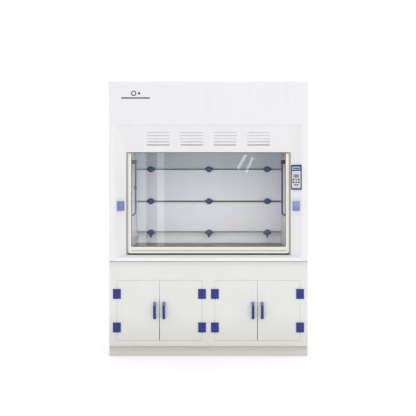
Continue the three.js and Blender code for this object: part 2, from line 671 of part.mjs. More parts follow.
function makeWorktop() {
  const half = CHAMBER_HALF_WIDTH - WORKTOP_CLEARANCE;
  const [front, back] = [CHAMBER_FRONT + WORKTOP_CLEARANCE, BACK - SHEET - WORKTOP_BACK_CLEARANCE];
  const slab = box([-half, half], [front, back], [WORKTOP_TOP_Z - WORKTOP_THICKNESS, WORKTOP_TOP_Z]);
  addPart('worktop', slab, 'worktopStone');
}

function makeServiceRods() {
  const [low, high] = ROD_Z;
  const rodX = CHAMBER_HALF_WIDTH - ROD_OFF_WALL;
  const wallX = CHAMBER_HALF_WIDTH - GAP;
  const bend = ROD_OFF_WALL - ROD_RADIUS;
  const bendCentre = [rodX + bend, low + bend + ROD_RADIUS];
  const curve = arcPoints(bendCentre, 0, bend, Math.PI * 1.5, Math.PI, BEND_STEPS);
  const route = [[wallX, 0, low + ROD_RADIUS], ...curve, [rodX, 0, high - ROD_BRACKET_HEIGHT / 2]];
  const rod = sweptRound(ROD_RADIUS, route, ROD_SIDES);
  const bracket = box(
    [rodX - ROD_RADIUS - ROD_BRACKET_WALL, wallX],
    [-ROD_BRACKET_HALF_DEPTH, ROD_BRACKET_HALF_DEPTH],
    [high - ROD_BRACKET_HEIGHT, high],
  );
  const rodPart = rod.add(bracket);
  for (const [name, side] of Object.entries(SIDES)) {
    const mesh = addPart(`${name}_service_rod`, mirroredX(rodPart, side), 'darkBluePlastic');
    mesh.position.y = ROD_Y;
  }
}

// ---------------------------------------------------------------- sash and its counterweights

function makeSashTracks() {
  const grooveHalf = TONGUE_THICKNESS / 2 + TRACK_GROOVE_PLAY;
  const track = box(
    [TRACK_LIP_X, CHAMBER_HALF_WIDTH - GAP],
    [TRACK_FRONT, SASH_Y + TRACK_BACK_REACH],
    [SILL_TOP_Z + GAP, TRACK_TOP_Z],
  );
  const slot = box(
    [TRACK_LIP_X - OVERSHOOT, CHAMBER_HALF_WIDTH - TRACK_WEB],
    [SASH_Y - grooveHalf, SASH_Y + grooveHalf],
    [0, BODY_HEIGHT],
  );
  const channel = track.subtract(slot);
  for (const [name, side] of Object.entries(SIDES)) {
    addPart(`${name}_sash_track`, mirroredX(channel, side), 'trackPlastic');
  }
}

function makeSash() {
  const depth = [SASH_Y - SASH_THICKNESS / 2, SASH_Y + SASH_THICKNESS / 2];
  const roundedHeight = SASH_TOP_Z - FRAME_LOW_Z + SASH_CORNER_RADIUS;
  const rounded = roundedBlock(2 * SASH_HALF_WIDTH, roundedHeight, SASH_THICKNESS, SASH_CORNER_RADIUS);
  const slab = box([-SASH_HALF_WIDTH, SASH_HALF_WIDTH], depth, [FRAME_LOW_Z, SASH_TOP_Z])
    .intersect(rounded.translate([0, depth[1], FRAME_LOW_Z + roundedHeight / 2]));
  const windowX = SASH_HALF_WIDTH - STILE_WIDTH;
  const window = box(
    [-windowX, windowX],
    [depth[0] - OVERSHOOT, depth[1] + OVERSHOOT],
    [FRAME_LOW_Z + BOTTOM_RAIL_HEIGHT, SASH_TOP_Z - TOP_RAIL_HEIGHT],
  );
  const rebate = box(
    [-GLASS_X - GAP, GLASS_X + GAP],
    [SASH_Y - GLASS_THICKNESS / 2 - GAP, SASH_Y + GLASS_THICKNESS / 2 + GAP],
    [GLASS_Z[0] - GAP, GLASS_Z[1] + GAP],
  );
  const fingerGroove = box(
    [-windowX, windowX],
    [depth[0] - OVERSHOOT, depth[0] + FINGER_GROOVE_DEPTH],
    FINGER_GROOVE_RISE.map((rise) => FRAME_LOW_Z + rise),
  );
  const tongues = [-1, 1].map((side) => {
    const reach = SASH_HALF_WIDTH + TONGUE_REACH;
    const xs = [side * (SASH_HALF_WIDTH - OVERSHOOT), side * reach].sort((a, b) => a - b);
    const ys = [SASH_Y - TONGUE_THICKNESS / 2, SASH_Y + TONGUE_THICKNESS / 2];
    return box(xs, ys, [FRAME_LOW_Z + SASH_CORNER_RADIUS, SASH_TOP_Z]);
  });
  const glassSlot = box(
    [-windowX, windowX],
    [SASH_Y - GLASS_THICKNESS / 2 - GAP, SASH_Y + GLASS_THICKNESS / 2 + GAP],
    [SASH_TOP_Z - TOP_RAIL_HEIGHT, SASH_TOP_Z - TOP_RAIL_HEIGHT + OVERSHOOT],
  );
  const frame = joined(slab, ...tongues).subtract(joined(window, rebate, fingerGroove, glassSlot));
  const ys = [SASH_Y - GLASS_THICKNESS / 2, SASH_Y + GLASS_THICKNESS / 2];
  const glass = box([-GLASS_X, GLASS_X], ys, GLASS_Z);
  addPart('sash_frame', frame, 'sashPlastic');
  addPart('sash_glass', glass, 'clearGlass');
  return frame.volume() * DENSITY.plastic + glass.volume() * DENSITY.glass;
}

function makeCounterweights(sashMass) {
  const height = sashMass / 2 / (DENSITY.steel * WEIGHT_WIDTH * WEIGHT_DEPTH);
  const block = box(
    [-WEIGHT_WIDTH / 2, WEIGHT_WIDTH / 2],
    [-WEIGHT_DEPTH / 2, WEIGHT_DEPTH / 2],
    [-height, 0],
  );
  for (const [name, side] of Object.entries(SIDES)) {
    const weight = addPart(`${name}_counterweight`, block, 'greySteel');
    weight.position.set(side * (PULLEY_CENTRE_X + ROPE_RADIUS), SASH_Y, WEIGHT_TOP_Z);
  }
}

function makePulleys() {
  const half = PULLEY_WIDTH / 2;
  const bore = AXLE_RADIUS + AXLE_PLAY;
  const grooveRadius = ROPE_RADIUS - CABLE_RADIUS - GAP;
  const grooveHalf = CABLE_RADIUS + PULLEY_GROOVE_PLAY;
  const innerFace = half - PULLEY_FLANGE_THICKNESS;
  const profile = [
    [bore, -half], [PULLEY_FLANGE_RADIUS, -half], [PULLEY_FLANGE_RADIUS, -innerFace],
    [grooveRadius, -grooveHalf], [grooveRadius, grooveHalf],
    [PULLEY_FLANGE_RADIUS, innerFace], [PULLEY_FLANGE_RADIUS, half], [bore, half], [bore, -half],
  ].map(([r, y]) => new THREE.Vector2(r, y));
  const wheel = solidOf(new THREE.LatheGeometry(profile, PULLEY_SIDES));
  const { count, radius, circle } = PULLEY_HOLES;
  const lighteningHoles = Array.from({ length: count }, (_, index) => {
    const angle = (index / count) * Math.PI * 2;
    const centre = [circle * Math.cos(angle), circle * Math.sin(angle)];
    return yCylinder(radius, centre, [-half - OVERSHOOT, half + OVERSHOOT], HOLE_SIDES);
  });
  const pulley = wheel.subtract(joined(...lighteningHoles));
  for (const [name, side] of Object.entries(SIDES)) {
    const mesh = addPart(`${name}_pulley`, pulley, 'darkBluePlastic');
    mesh.position.set(side * PULLEY_CENTRE_X, SASH_Y, PULLEY_CENTRE_Z);
  }
}

function makePulleyBeam() {
  const reach = HALF_WIDTH - SHEET - GAP;
  const standOff = PULLEY_WIDTH / 2 + BEAM_STAND_OFF;
  const barFront = SASH_Y + standOff;
  const bar = box(
    [-reach, reach],
    [barFront, barFront + BEAM_THICKNESS],
    [PULLEY_CENTRE_Z - BEAM_HALF_HEIGHT, PULLEY_CENTRE_Z + BEAM_HALF_HEIGHT],
  );
  const axles = [-1, 1].map((side) => yCylinder(
    AXLE_RADIUS,
    [side * PULLEY_CENTRE_X, PULLEY_CENTRE_Z],
    [SASH_Y - standOff, barFront + OVERSHOOT],
  ));
  addPart('pulley_beam', joined(bar, ...axles), 'brightSteel');
}

function makeSashCables() {
  const axle = [PULLEY_CENTRE_X, PULLEY_CENTRE_Z];
  const overTop = arcPoints(axle, SASH_Y, ROPE_RADIUS, Math.PI, 0, CABLE_TURN_STEPS);
  const route = [
    [PULLEY_CENTRE_X - ROPE_RADIUS, SASH_Y, SASH_TOP_Z + GAP],
    ...overTop,
    [PULLEY_CENTRE_X + ROPE_RADIUS, SASH_Y, WEIGHT_TOP_Z + GAP],
  ];
  const cable = sweptRound(CABLE_RADIUS, route);
  for (const [name, side] of Object.entries(SIDES)) {
    addPart(`${name}_sash_cable`, mirroredX(cable, side), 'greySteel');
  }
}

// ---------------------------------------------------------------- sockets and control box

// A rectangle's span inset from both edges.
function inset(size, border) {
  return [-size / 2 + border, size / 2 - border];
}

function makeSockets() {
  const plate = roundedBlock(SOCKET_WIDTH, SOCKET_HEIGHT, SOCKET_PLATE_DEPTH, SOCKET_CORNER);
  const face = box(
    inset(SOCKET_WIDTH, SOCKET_FACE_BORDER),
    [-SOCKET_PLATE_DEPTH - OVERSHOOT, -SOCKET_PLATE_DEPTH + SOCKET_FACE_RECESS],
    inset(SOCKET_HEIGHT, SOCKET_FACE_BORDER),
  );
  const socketBox = plate.subtract(face);
  const shell = roundedBlock(SOCKET_WIDTH, SOCKET_HEIGHT, SOCKET_COVER_DEPTH, SOCKET_CORNER);
  const hollow = box(
    inset(SOCKET_WIDTH, SOCKET_COVER_WALL),
    [-SOCKET_COVER_DEPTH + SOCKET_COVER_WALL, OVERSHOOT],
    inset(SOCKET_HEIGHT, SOCKET_COVER_WALL),
  );
  const cover = shell.subtract(hollow);
  for (const [name, side] of Object.entries(SIDES)) {
    const place = bevelGroup(side, SOCKET_CENTRE_Z, SOCKET_OUTWARD);
    const boxMesh = addPart(`${name}_socket_box`, socketBox, 'whitePlastic', place);
    boxMesh.position.y = -GAP;
    const coverMesh = addPart(`${name}_socket_cover`, cover, 'lilacPlastic', place);
    coverMesh.position.y = -SOCKET_PLATE_DEPTH - 2 * GAP;
  }
}

function makeControlBox() {
  const body = roundedBlock(CONTROL_WIDTH, CONTROL_HEIGHT, CONTROL_DEPTH, CONTROL_CORNER);
  const recess = box(
    inset(CONTROL_WIDTH, CONTROL_BORDER),
    [-CONTROL_DEPTH - OVERSHOOT, -CONTROL_DEPTH + CONTROL_RECESS],
    inset(CONTROL_HEIGHT, CONTROL_BORDER),
  );
  const place = bevelGroup(SIDES.right, CONTROL_CENTRE_Z, CONTROL_OUTWARD);
  const mesh = addPart('control_box', body.subtract(recess), 'darkBluePlastic', place);
  mesh.position.y = -GAP;
}

// ---------------------------------------------------------------- build

makePlinth();
makeBaseCabinet();
makeDoors();
makeCasing();
makeExhaustDuct();
makePosts();
makeLouvrePanel();
makeFrontSill();
makeLiner();
makeLightFitting();
makeBaffles();
makeWorktop();
makeServiceRods();
makeSashTracks();
makeCounterweights(makeSash());
makePulleys();
makePulleyBeam();
makeSashCables();
makeSockets();
makeControlBox();

export default fumeHood;
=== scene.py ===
import math
import random

import bmesh
import bpy
from mathutils import Matrix, Vector


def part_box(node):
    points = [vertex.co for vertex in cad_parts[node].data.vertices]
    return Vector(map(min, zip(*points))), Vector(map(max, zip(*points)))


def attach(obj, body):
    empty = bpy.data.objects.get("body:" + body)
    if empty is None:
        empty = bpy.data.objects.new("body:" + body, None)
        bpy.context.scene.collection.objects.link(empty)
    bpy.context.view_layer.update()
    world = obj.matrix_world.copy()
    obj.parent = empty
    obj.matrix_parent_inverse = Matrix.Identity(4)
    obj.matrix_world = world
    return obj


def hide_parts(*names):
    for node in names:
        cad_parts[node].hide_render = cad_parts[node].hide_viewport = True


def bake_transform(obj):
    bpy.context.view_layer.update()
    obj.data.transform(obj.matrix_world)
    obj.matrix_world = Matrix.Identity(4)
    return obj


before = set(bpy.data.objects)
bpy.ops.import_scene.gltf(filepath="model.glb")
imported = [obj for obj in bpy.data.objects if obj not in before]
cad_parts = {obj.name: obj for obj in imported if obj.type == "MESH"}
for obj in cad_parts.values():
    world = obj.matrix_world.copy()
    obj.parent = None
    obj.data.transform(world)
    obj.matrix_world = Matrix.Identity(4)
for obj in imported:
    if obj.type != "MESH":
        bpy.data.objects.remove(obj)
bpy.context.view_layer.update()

random.seed(7)

# ---- places, read from the frame

SHEET = 0.008        # wall thickness of the welded sheet
GAP = 0.0003         # clearance kept between neighbouring parts
FRONT_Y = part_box("header_panel")[0].y
BACK_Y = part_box("back_panel")[1].y
HEADER_LOW_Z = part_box("header_panel")[0].z
TOP_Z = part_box("roof_panel")[1].z
BASE_TOP_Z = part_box("base_cabinet")[1].z
CABINET_FRONT_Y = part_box("base_cabinet")[0].y
HALF_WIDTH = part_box("base_cabinet")[1].x
SILL_TOP_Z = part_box("front_sill")[1].z
LOUVRE_LOW_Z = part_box("louvre_panel")[0].z
LINER_HALF_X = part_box("chamber_liner")[1].x - SHEET
LINER_BACK_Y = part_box("chamber_liner")[1].y
LINER_TOP_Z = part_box("chamber_liner")[1].z
WORKTOP_TOP_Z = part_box("worktop")[1].z
BOTTOM_SLOT_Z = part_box("lower_baffle")[0].z
MIDDLE_SLOT_Z = (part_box("lower_baffle")[1].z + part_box("middle_baffle")[0].z) / 2
BAFFLE_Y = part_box("lower_baffle")[0].y
SASH_LOW, SASH_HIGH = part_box("sash_frame")
SASH_Y = (SASH_LOW.y + SASH_HIGH.y) / 2
GLASS_LOW, GLASS_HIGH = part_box("sash_glass")

# the posts' slanted faces, in plan
BEVEL_OUTER_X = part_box("front_sill")[1].x + GAP
BEVEL_INNER_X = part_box("right_post")[0].x
BEVEL_RECESS = 0.055
BEVEL_ANGLE = math.atan2(BEVEL_RECESS, BEVEL_OUTER_X - BEVEL_INNER_X)
SIDES = {"left": -1, "right": 1}
DOORS = ("door_1", "door_2", "door_3", "door_4")


def move(offset):
    return Matrix.Translation(offset)


def turn(degrees, axis):
    return Matrix.Rotation(math.radians(degrees), 4, axis)


def bevel_place(node, side, depth):
    """The frame of the slanted face under a node that stands depth proud: its own -Y points outwards."""
    low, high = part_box(node)
    outward = Vector((-side * math.sin(BEVEL_ANGLE), -math.cos(BEVEL_ANGLE), 0))
    centre = (low + high) / 2 - outward * (depth / 2 + GAP)
    return move(centre) @ Matrix.Rotation(-side * BEVEL_ANGLE, 4, "Z")


def in_scene(name, data):
    """A new object in the scene."""
    thing = bpy.data.objects.new(name, data)
    bpy.context.scene.collection.objects.link(thing)
    return thing


# ---- camera

CAMERA_X = 0.04
CAMERA_DISTANCE = 4.5
EYE_HEIGHT = 1.45

camera = in_scene("camera", bpy.data.cameras.new("camera"))
camera.location = (CAMERA_X, FRONT_Y - CAMERA_DISTANCE, EYE_HEIGHT)
camera.rotation_euler = (math.radians(90), 0, 0)
camera.data.sensor_width = 36
camera.data.lens = 45.6
camera.data.shift_x = -0.0123
camera.data.shift_y = -0.0505
camera.data.clip_end = 200
bpy.context.scene.camera = camera


# ---- materials

def srgb(red, green, blue):
    """An 8-bit display colour as linear RGBA."""
    def linear(value):
        value /= 255
        return value / 12.92 if value <= 0.04045 else ((value + 0.055) / 1.055) ** 2.4
    return (linear(red), linear(green), linear(blue), 1)


def scaled(colour, factor):
    """The colour, lighter or darker."""
    return tuple(min(1, channel * factor) for channel in colour[:3]) + (1,)


def fill(node, values):
    """Sets a node's inputs by name."""
    for key, value in dict(values).items():
        node.inputs[key].default_value = value


class Nodes:
    """A node tree, with short ways to add to it."""

    def __init__(self, tree):
        self.tree = tree

    def node(self, kind, **settings):
        made = self.tree.nodes.new(kind)
        for key, value in settings.items():
            setattr(made, key, value)
        return made

    def link(self, source, target):
        """source is a socket, or a plain value for the target."""
        if isinstance(source, bpy.types.NodeSocket):
            self.tree.links.new(source, target)
        else:
            target.default_value = source

    def ranged(self, value, *limits, ease="SMOOTHSTEP"):
        """The value taken from one range, low and high, to another."""
        node = self.node("ShaderNodeMapRange", interpolation_type=ease)
        fill(node, zip(("From Min", "From Max", "To Min", "To Max"), limits))
        self.link(value, node.inputs["Value"])
        return node.outputs["Result"]

    def maths(self, operation, *values):
        """values are numbers or sockets."""
        node = self.node("ShaderNodeMath", operation=operation)
        for socket, value in zip(node.inputs, values):
            self.link(value, socket)
        return node.outputs[0]

    def along(self, axis, node, output):
        """One coordinate, X, Y or Z, of a node's vector."""
        split = self.node("ShaderNodeSeparateXYZ")
        self.link(self.node(node).outputs[output], split.inputs["Vector"])
        return split.outputs[axis]


class Shader(Nodes):
    """A new material, with short ways to set its surface."""

    def __init__(self, name):
        self.material = bpy.data.materials.new(name)
        self.material.use_nodes = True
        super().__init__(self.material.node_tree)
        self.surface = self.tree.nodes["Principled BSDF"]
        self.place = self.node("ShaderNodeTexCoord").outputs["Object"]

    def set(self, **values):
        fill(self.surface, {key.replace("_", " "): value for key, value in values.items()})

    def texture(self, kind, output, stretch=(1, 1, 1), **values):
        mapping = self.node("ShaderNodeMapping")
        mapping.inputs["Scale"].default_value = stretch
        self.link(self.place, mapping.inputs["Vector"])
        texture = self.node(kind)
        fill(texture, values)
        self.link(mapping.outputs["Vector"], texture.inputs["Vector"])
        return texture.outputs[output]

    def noise(self, scale, detail=3.0, roughness=0.5, stretch=(1, 1, 1)):
        return self.texture("ShaderNodeTexNoise", "Fac", stretch, Scale=scale, Detail=detail, Roughness=roughness)

    def cells(self, scale):
        return self.texture("ShaderNodeTexVoronoi", "Distance", Scale=scale)

    def mixed(self, factor, first, second):
        """first and second are colours or sockets; factor is a socket."""
        node = self.node("ShaderNodeMix", data_type="RGBA")
        for key, value in ((0, factor), (6, first), (7, second)):
            self.link(value, node.inputs[key])
        return node.outputs[2]

    def corners(self, distance):
        """0 in tight corners and gaps, 1 in the open."""
        node = self.node("ShaderNodeAmbientOcclusion", samples=6)
        node.inputs["Distance"].default_value = distance
        return node.outputs["AO"]

    def upward(self):
        """How far the surface faces up, from -1 to 1."""
        return self.along("Z", "ShaderNodeNewGeometry", "Normal")

    def height(self):
        """Metres above the floor."""
        return self.along("Z", "ShaderNodeNewGeometry", "Position")

    def forward(self):
        """1 on surfaces that face the user of the hood, 0 on the others."""
        return self.ranged(self.along("Y", "ShaderNodeNewGeometry", "Normal"), -0.9, -0.5, 1, 0)

    def away_from(self, value, centre):
        return self.maths("ABSOLUTE", self.maths("SUBTRACT", value, centre))

    def band(self, centre, half, soft, amount):
        """amount within half of one height above the floor, fading to nothing over soft more metres."""
        return self.ranged(self.away_from(self.height(), centre), half, half + soft, amount, 0)

    def ends(self, start, amount):
        """amount at the piece's upper and lower ends; start is the share of its height where it sets in."""
        share = self.along("Z", "ShaderNodeTexCoord", "Generated")
        return self.ranged(self.away_from(share, 0.5), start, 0.5, 0, amount)

    def colour(self, value):
        self.link(value, self.surface.inputs["Base Color"])

    def roughness(self, value):
        self.link(value, self.surface.inputs["Roughness"])

    def gloss(self, scale, low, high, detail=3.0):
        """A roughness that wavers between low and high."""
        self.roughness(self.ranged(self.noise(scale, detail), 0.3, 0.7, low, high))

    def bump(self, value, strength, distance):
        node = self.node("ShaderNodeBump")
        fill(node, {"Strength": strength, "Distance": distance})
        self.link(value, node.inputs["Height"])
        self.link(node.outputs["Normal"], self.surface.inputs["Normal"])


# each maker gives the material's name in MATERIALS and the material

def plastic_sheet(
        name, colour, gloss=(0.30, 0.44), corner_shade_and_dust=0.10, corner_shade_and_dust_colour=None, scuffs=0.02, height_shade=None, shade_bands=(),
        outside=None):
    """Satin welded sheet: faint rolled streaks and cloudiness, fine scratches, dust and painted shade in the
    corners.

    grime is how dark the corners are painted, with dust and shade together; scuffs is how far the tone wavers.
    settled is (height, height, amount, amount): how much painted shade there is at two heights above the floor.
    stains are the (centre, half, soft, amount) of bands of painted shade on the front face, as under an overhang
    and along the slots.
    outside is the colour of the faces that don't face the user, so that the faces towards the user can be painted
    lighter."""
    shader = Shader(name)
    clouds = shader.noise(1.6, detail=4)
    streaks = shader.noise(3.0, detail=5, roughness=0.6, stretch=(5, 5, 0.5))
    tone = shader.ranged(shader.maths("ADD", clouds, streaks), 0.75, 1.3, 0, 1)
    body = shader.mixed(tone, scaled(colour, 1 - scuffs), scaled(colour, 1 + scuffs / 2))
    # painted shade and dust: corners and gaps darkened by ambient occlusion
    corner_shade_and_dust_mask = shader.ranged(shader.corners(0.035), 0.25, 0.9, corner_shade_and_dust, 0)
    shade_and_dust_colour = corner_shade_and_dust_colour or scaled(colour, 0.55)
    # painted shade that changes with height above the floor
    if height_shade:
        body = shader.mixed(shader.ranged(shader.height(), *height_shade), body, shade_and_dust_colour)
    # faces towards the user painted lighter than the other faces
    if outside:
        body = shader.mixed(shader.forward(), outside, body)
    # bands of painted shade on the faces towards the user
    for shade_band in shade_bands:
        shade_band_mask = shader.maths("MULTIPLY", shader.band(*shade_band), shader.forward())
        body = shader.mixed(shade_band_mask, body, scaled(colour, 0.12))
    shader.colour(shader.mixed(corner_shade_and_dust_mask, body, shade_and_dust_colour))
    shader.roughness(shader.ranged(shader.noise(9, detail=6, roughness=0.7), 0.3, 0.72, *gloss))
    peel = shader.noise(420, detail=2)
    scratches = shader.ranged(
        shader.noise(60, detail=8, roughness=0.8, stretch=(1, 1, 0.04)), 0.62, 0.70, 0, 1.0)
    shader.bump(shader.maths("ADD", peel, scratches), 0.10, 0.0002)
    shader.set(IOR=1.49)
    return name, shader.material


def moulded_plastic(name, colour, gloss=(0.28, 0.42), edge=1.5, top_highlight=None, shaded_ends=None):
    """Moulded part: fine spark texture, a painted highlight on faces that look up, dust and painted shade in its
    corners.

    shaded_ends is (start, amount): painted shade towards the piece's upper and lower ends."""
    shader = Shader(name)
    fade = shader.ranged(shader.noise(14, detail=5), 0.3, 0.75, 0, 1)
    body = shader.mixed(fade, scaled(colour, 0.86), scaled(colour, edge * 0.78))
    if top_highlight:
        # faces that look up painted lighter: a painted highlight
        up = shader.ranged(shader.upward(), 0.35, 0.7, 0, 0.75)
        body = shader.mixed(up, body, top_highlight)
    if shaded_ends:
        # painted shade towards the upper and lower ends
        body = shader.mixed(shader.ends(*shaded_ends), body, scaled(colour, 0.3))
    # painted shade and dust in small corners, from ambient occlusion
    moulded_corner_shade_and_dust = shader.ranged(shader.corners(0.006), 0.2, 0.85, 0.22, 0)
    shader.colour(shader.mixed(moulded_corner_shade_and_dust, body, scaled(colour, 0.35)))
    shader.gloss(60, *gloss, detail=4)
    shader.bump(shader.noise(1500, detail=2), 0.14, 0.0001)
    shader.set(IOR=1.5, Coat_Weight=0.12, Coat_Roughness=0.25)
    return name, shader.material


def phenolic_board(name):
    shader = Shader(name)
    flecks = shader.ranged(shader.cells(900), 0.15, 0.45, 1, 0)
    clouds = shader.ranged(shader.noise(5, detail=6), 0.3, 0.7, 0, 1)
    body = shader.mixed(clouds, srgb(104, 98, 103), srgb(127, 120, 124))
    shader.colour(shader.mixed(shader.maths("MULTIPLY", flecks, 0.35), body, srgb(140, 132, 130)))
    shader.roughness(shader.ranged(shader.noise(8, detail=6, stretch=(0.4, 2, 1)), 0.3, 0.7, 0.34, 0.56))
    shader.bump(shader.noise(700, detail=3), 0.18, 0.0002)
    return name, shader.material


def clouded(name, first, second, clouds, gloss, grain, **settings):
    """Two colours in soft clouds, with a wavering gloss and a fine grain.

    clouds is (scale, detail, low, high, most), gloss (scale, low, high), grain (scale, strength, depth)."""
    shader = Shader(name)
    scale, detail, low, high, most = clouds
    tone = shader.ranged(shader.noise(scale, detail), low, high, 0, most)
    shader.colour(shader.mixed(tone, first, second))
    shader.gloss(*gloss)
    grain_scale, strength, depth = grain
    shader.bump(shader.noise(grain_scale), strength, depth)
    shader.set(**settings)
    return name, shader.material


def tinted_cover(name, deep, pale):
    """The splash covers' lilac-blue translucent moulding."""
    return clouded(
        name, deep, pale, (25, 4, 0.3, 0.7, 1), (90, 0.10, 0.2), (600, 0.05, 0.0001),
        Transmission_Weight=0.35, IOR=1.49, Coat_Weight=0.3, Coat_Roughness=0.08)


def steel(name, colour, rough=(0.22, 0.4), metallic=1.0):
    shader = Shader(name)
    brush = shader.noise(40, detail=8, roughness=0.7, stretch=(1, 1, 60))
    shader.colour(shader.mixed(shader.ranged(brush, 0.3, 0.7, 0, 1), scaled(colour, 0.82), colour))
    shader.roughness(shader.ranged(brush, 0.3, 0.7, *rough))
    shader.bump(brush, 0.12, 0.0001)
    shader.set(Metallic=metallic)
    return name, shader.material


def stranded_wire(name):
    shader = Shader(name)
    wave = shader.node("ShaderNodeTexWave", wave_type="BANDS", bands_direction="DIAGONAL")
    wave.inputs["Scale"].default_value = 180
    shader.link(shader.place, wave.inputs["Vector"])
    shader.colour(shader.mixed(wave.outputs["Fac"], srgb(70, 72, 75), srgb(176, 178, 182)))
    shader.gloss(80, 0.28, 0.45)
    shader.bump(wave.outputs["Fac"], 0.6, 0.0005)
    shader.set(Metallic=1)
    return name, shader.material


def float_glass(name):
    """Clear glass with a trace of green and the faint haze of wiping."""
    shader = Shader(name)
    haze = shader.noise(3, detail=8, roughness=0.7, stretch=(1, 1, 0.5))
    shader.colour(shader.mixed(shader.ranged(haze, 0.35, 0.75, 0, 1), srgb(250, 252, 252), srgb(243, 247, 248)))
    shader.roughness(shader.ranged(haze, 0.4, 0.8, 0.0, 0.025))
    shader.set(Transmission_Weight=1, IOR=1.42)
    return name, shader.material


def glowing_diffuser(name, strength):
    shader = Shader(name)
    prisms = shader.cells(260)
    shader.colour(shader.mixed(shader.ranged(prisms, 0.1, 0.5, 0, 1), srgb(225, 228, 230), srgb(250, 250, 250)))
    shader.gloss(40, 0.3, 0.5)
    shader.bump(prisms, 0.4, 0.0006)
    shader.set(Emission_Color=srgb(236, 244, 255), Emission_Strength=strength)
    return name, shader.material


MATERIALS = dict((
    plastic_sheet("groove", srgb(196, 198, 182), gloss=(0.4, 0.55), corner_shade_and_dust=0.35),
    plastic_sheet("white", srgb(241, 241, 243)),
    # louvre, post and sill are copies of the white sheet: the louvre painted darker as it tilts down, the post
    # and sill painted lighter for the light on them
    plastic_sheet("louvre", srgb(237, 237, 239)),
    plastic_sheet("post", srgb(243, 243, 244)),
    plastic_sheet("sill", srgb(250, 250, 251), corner_shade_and_dust=0.05),
    # darker towards the floor and in a band under the upper casing: painted shade
    plastic_sheet(
        "base", srgb(236, 236, 233), corner_shade_and_dust=0.14, height_shade=(0.10, 0.42, 0.24, 0),
        shade_bands=((BASE_TOP_Z, 0.004, 0.055, 0.12),)),
    # darker than the base sheet and darker still towards its top: painted shade under the cabinet's overhang
    plastic_sheet(
        "plinth", srgb(216, 214, 206), gloss=(0.42, 0.6), corner_shade_and_dust=0.3, scuffs=0.03, height_shade=(0.02, 0.09, 0, 0.5)),
    plastic_sheet("liner", srgb(226, 227, 232)),
    # the face towards the chamber painted lighter than the outside faces; the dark bands at the middle and bottom
    # slots are painted shade
    plastic_sheet(
        "back", srgb(250, 250, 252), corner_shade_and_dust=0.05, outside=srgb(234, 234, 236),
        shade_bands=((MIDDLE_SLOT_Z, 0.012, 0.006, 0.85), (BOTTOM_SLOT_Z - 0.009, 0.009, 0.007, 0.55))),
    # a band of painted shade along the middle slot
    plastic_sheet("baffle", srgb(221, 219, 223), shade_bands=((MIDDLE_SLOT_Z - 0.008, 0.001, 0.012, 0.35),)),
    # a darker copy of the baffle sheet: painted shade under the header
    plastic_sheet("upper_baffle", srgb(184, 187, 195)),
    plastic_sheet("sash", srgb(247, 244, 235), corner_shade_and_dust=0.20, corner_shade_and_dust_colour=srgb(140, 128, 108)),
    plastic_sheet("track", srgb(188, 180, 169), gloss=(0.4, 0.55), corner_shade_and_dust=0.5),
    # darker towards the floor: painted shade
    plastic_sheet("door", srgb(236, 236, 233), corner_shade_and_dust=0.03, height_shade=(0.10, 0.42, 0.24, 0)),
    # painted shade at the leaves' upper and lower ends
    moulded_plastic("hinge_blue", srgb(14, 48, 140), edge=1.7, shaded_ends=(0.34, 0.7)),
    # faces that look up painted lighter: a painted highlight
    moulded_plastic("handle_blue", srgb(12, 36, 122), top_highlight=srgb(134, 140, 174)),
    moulded_plastic("dark_blue", srgb(10, 18, 112)),
    moulded_plastic("knob_blue", srgb(2, 38, 116), gloss=(0.24, 0.38)),
    moulded_plastic("knob_dark", srgb(8, 11, 28), gloss=(0.3, 0.45)),
    moulded_plastic("rod_blue", srgb(16, 26, 84), gloss=(0.26, 0.4)),
    moulded_plastic("black_plastic", srgb(28, 29, 34)),
    moulded_plastic("white_moulding", srgb(236, 236, 238), edge=1.25),
    tinted_cover("cover", srgb(112, 134, 214), srgb(150, 168, 232)),
    # the right cover's copy, painted lighter for the light that falls on it
    tinted_cover("lit_cover", srgb(140, 160, 228), srgb(180, 196, 242)),
    phenolic_board("worktop"),
    clouded(
        "rubber", srgb(38, 36, 35), srgb(78, 74, 70), (35, 6, 0.4, 0.75, 0.5), (120, 0.6, 0.8),
        (900, 0.3, 0.0002)),
    steel("bright_steel", srgb(196, 198, 202)),
    steel("grey_steel", srgb(120, 123, 128), rough=(0.45, 0.6), metallic=0.3),
    stranded_wire("wire"),
    float_glass("glass"),
    glowing_diffuser("diffuser", 1.2),
    clouded(
        "display", srgb(150, 154, 148), srgb(176, 180, 172), (120, 3, 0.35, 0.7, 1), (300, 0.1, 0.2),
        (900, 0.03, 0.0001), Coat_Weight=0.6, Coat_Roughness=0.05),
    moulded_plastic("label_pale", srgb(196, 206, 242), gloss=(0.2, 0.3)),
    moulded_plastic("label_grey", srgb(104, 110, 130), gloss=(0.2, 0.3)),
    moulded_plastic("membrane", srgb(232, 232, 242), gloss=(0.25, 0.35), edge=1.25),
    moulded_plastic("key_dark", srgb(12, 10, 36), gloss=(0.25, 0.35)),
    moulded_plastic("key_red", srgb(116, 12, 40), gloss=(0.25, 0.35)),
    moulded_plastic("mark_grey", srgb(62, 66, 84), gloss=(0.3, 0.4)),
))


# ---- mesh helpers

def bevel(mesh, edges, width, segments):
    bmesh.ops.bevel(
        mesh, geom=edges, offset=width, segments=segments, profile=0.5, affect="EDGES", clamp_overlap=True)


def box_mesh(low, high, soften=0.0):
    mesh = bmesh.new()
    low, high = Vector(low), Vector(high)
    middle = move((low + high) / 2) @ Matrix.Diagonal((*(high - low), 1))
    bmesh.ops.create_cube(mesh, size=1, matrix=middle)
    if soften:
        bevel(mesh, mesh.edges[:], soften, 3)
    return mesh


def soften_sharp(mesh, width, segments, angle=30):
    sharp = [e for e in mesh.edges if e.is_manifold and e.calc_face_angle(0) > math.radians(angle)]
    bevel(mesh, sharp, width, segments)


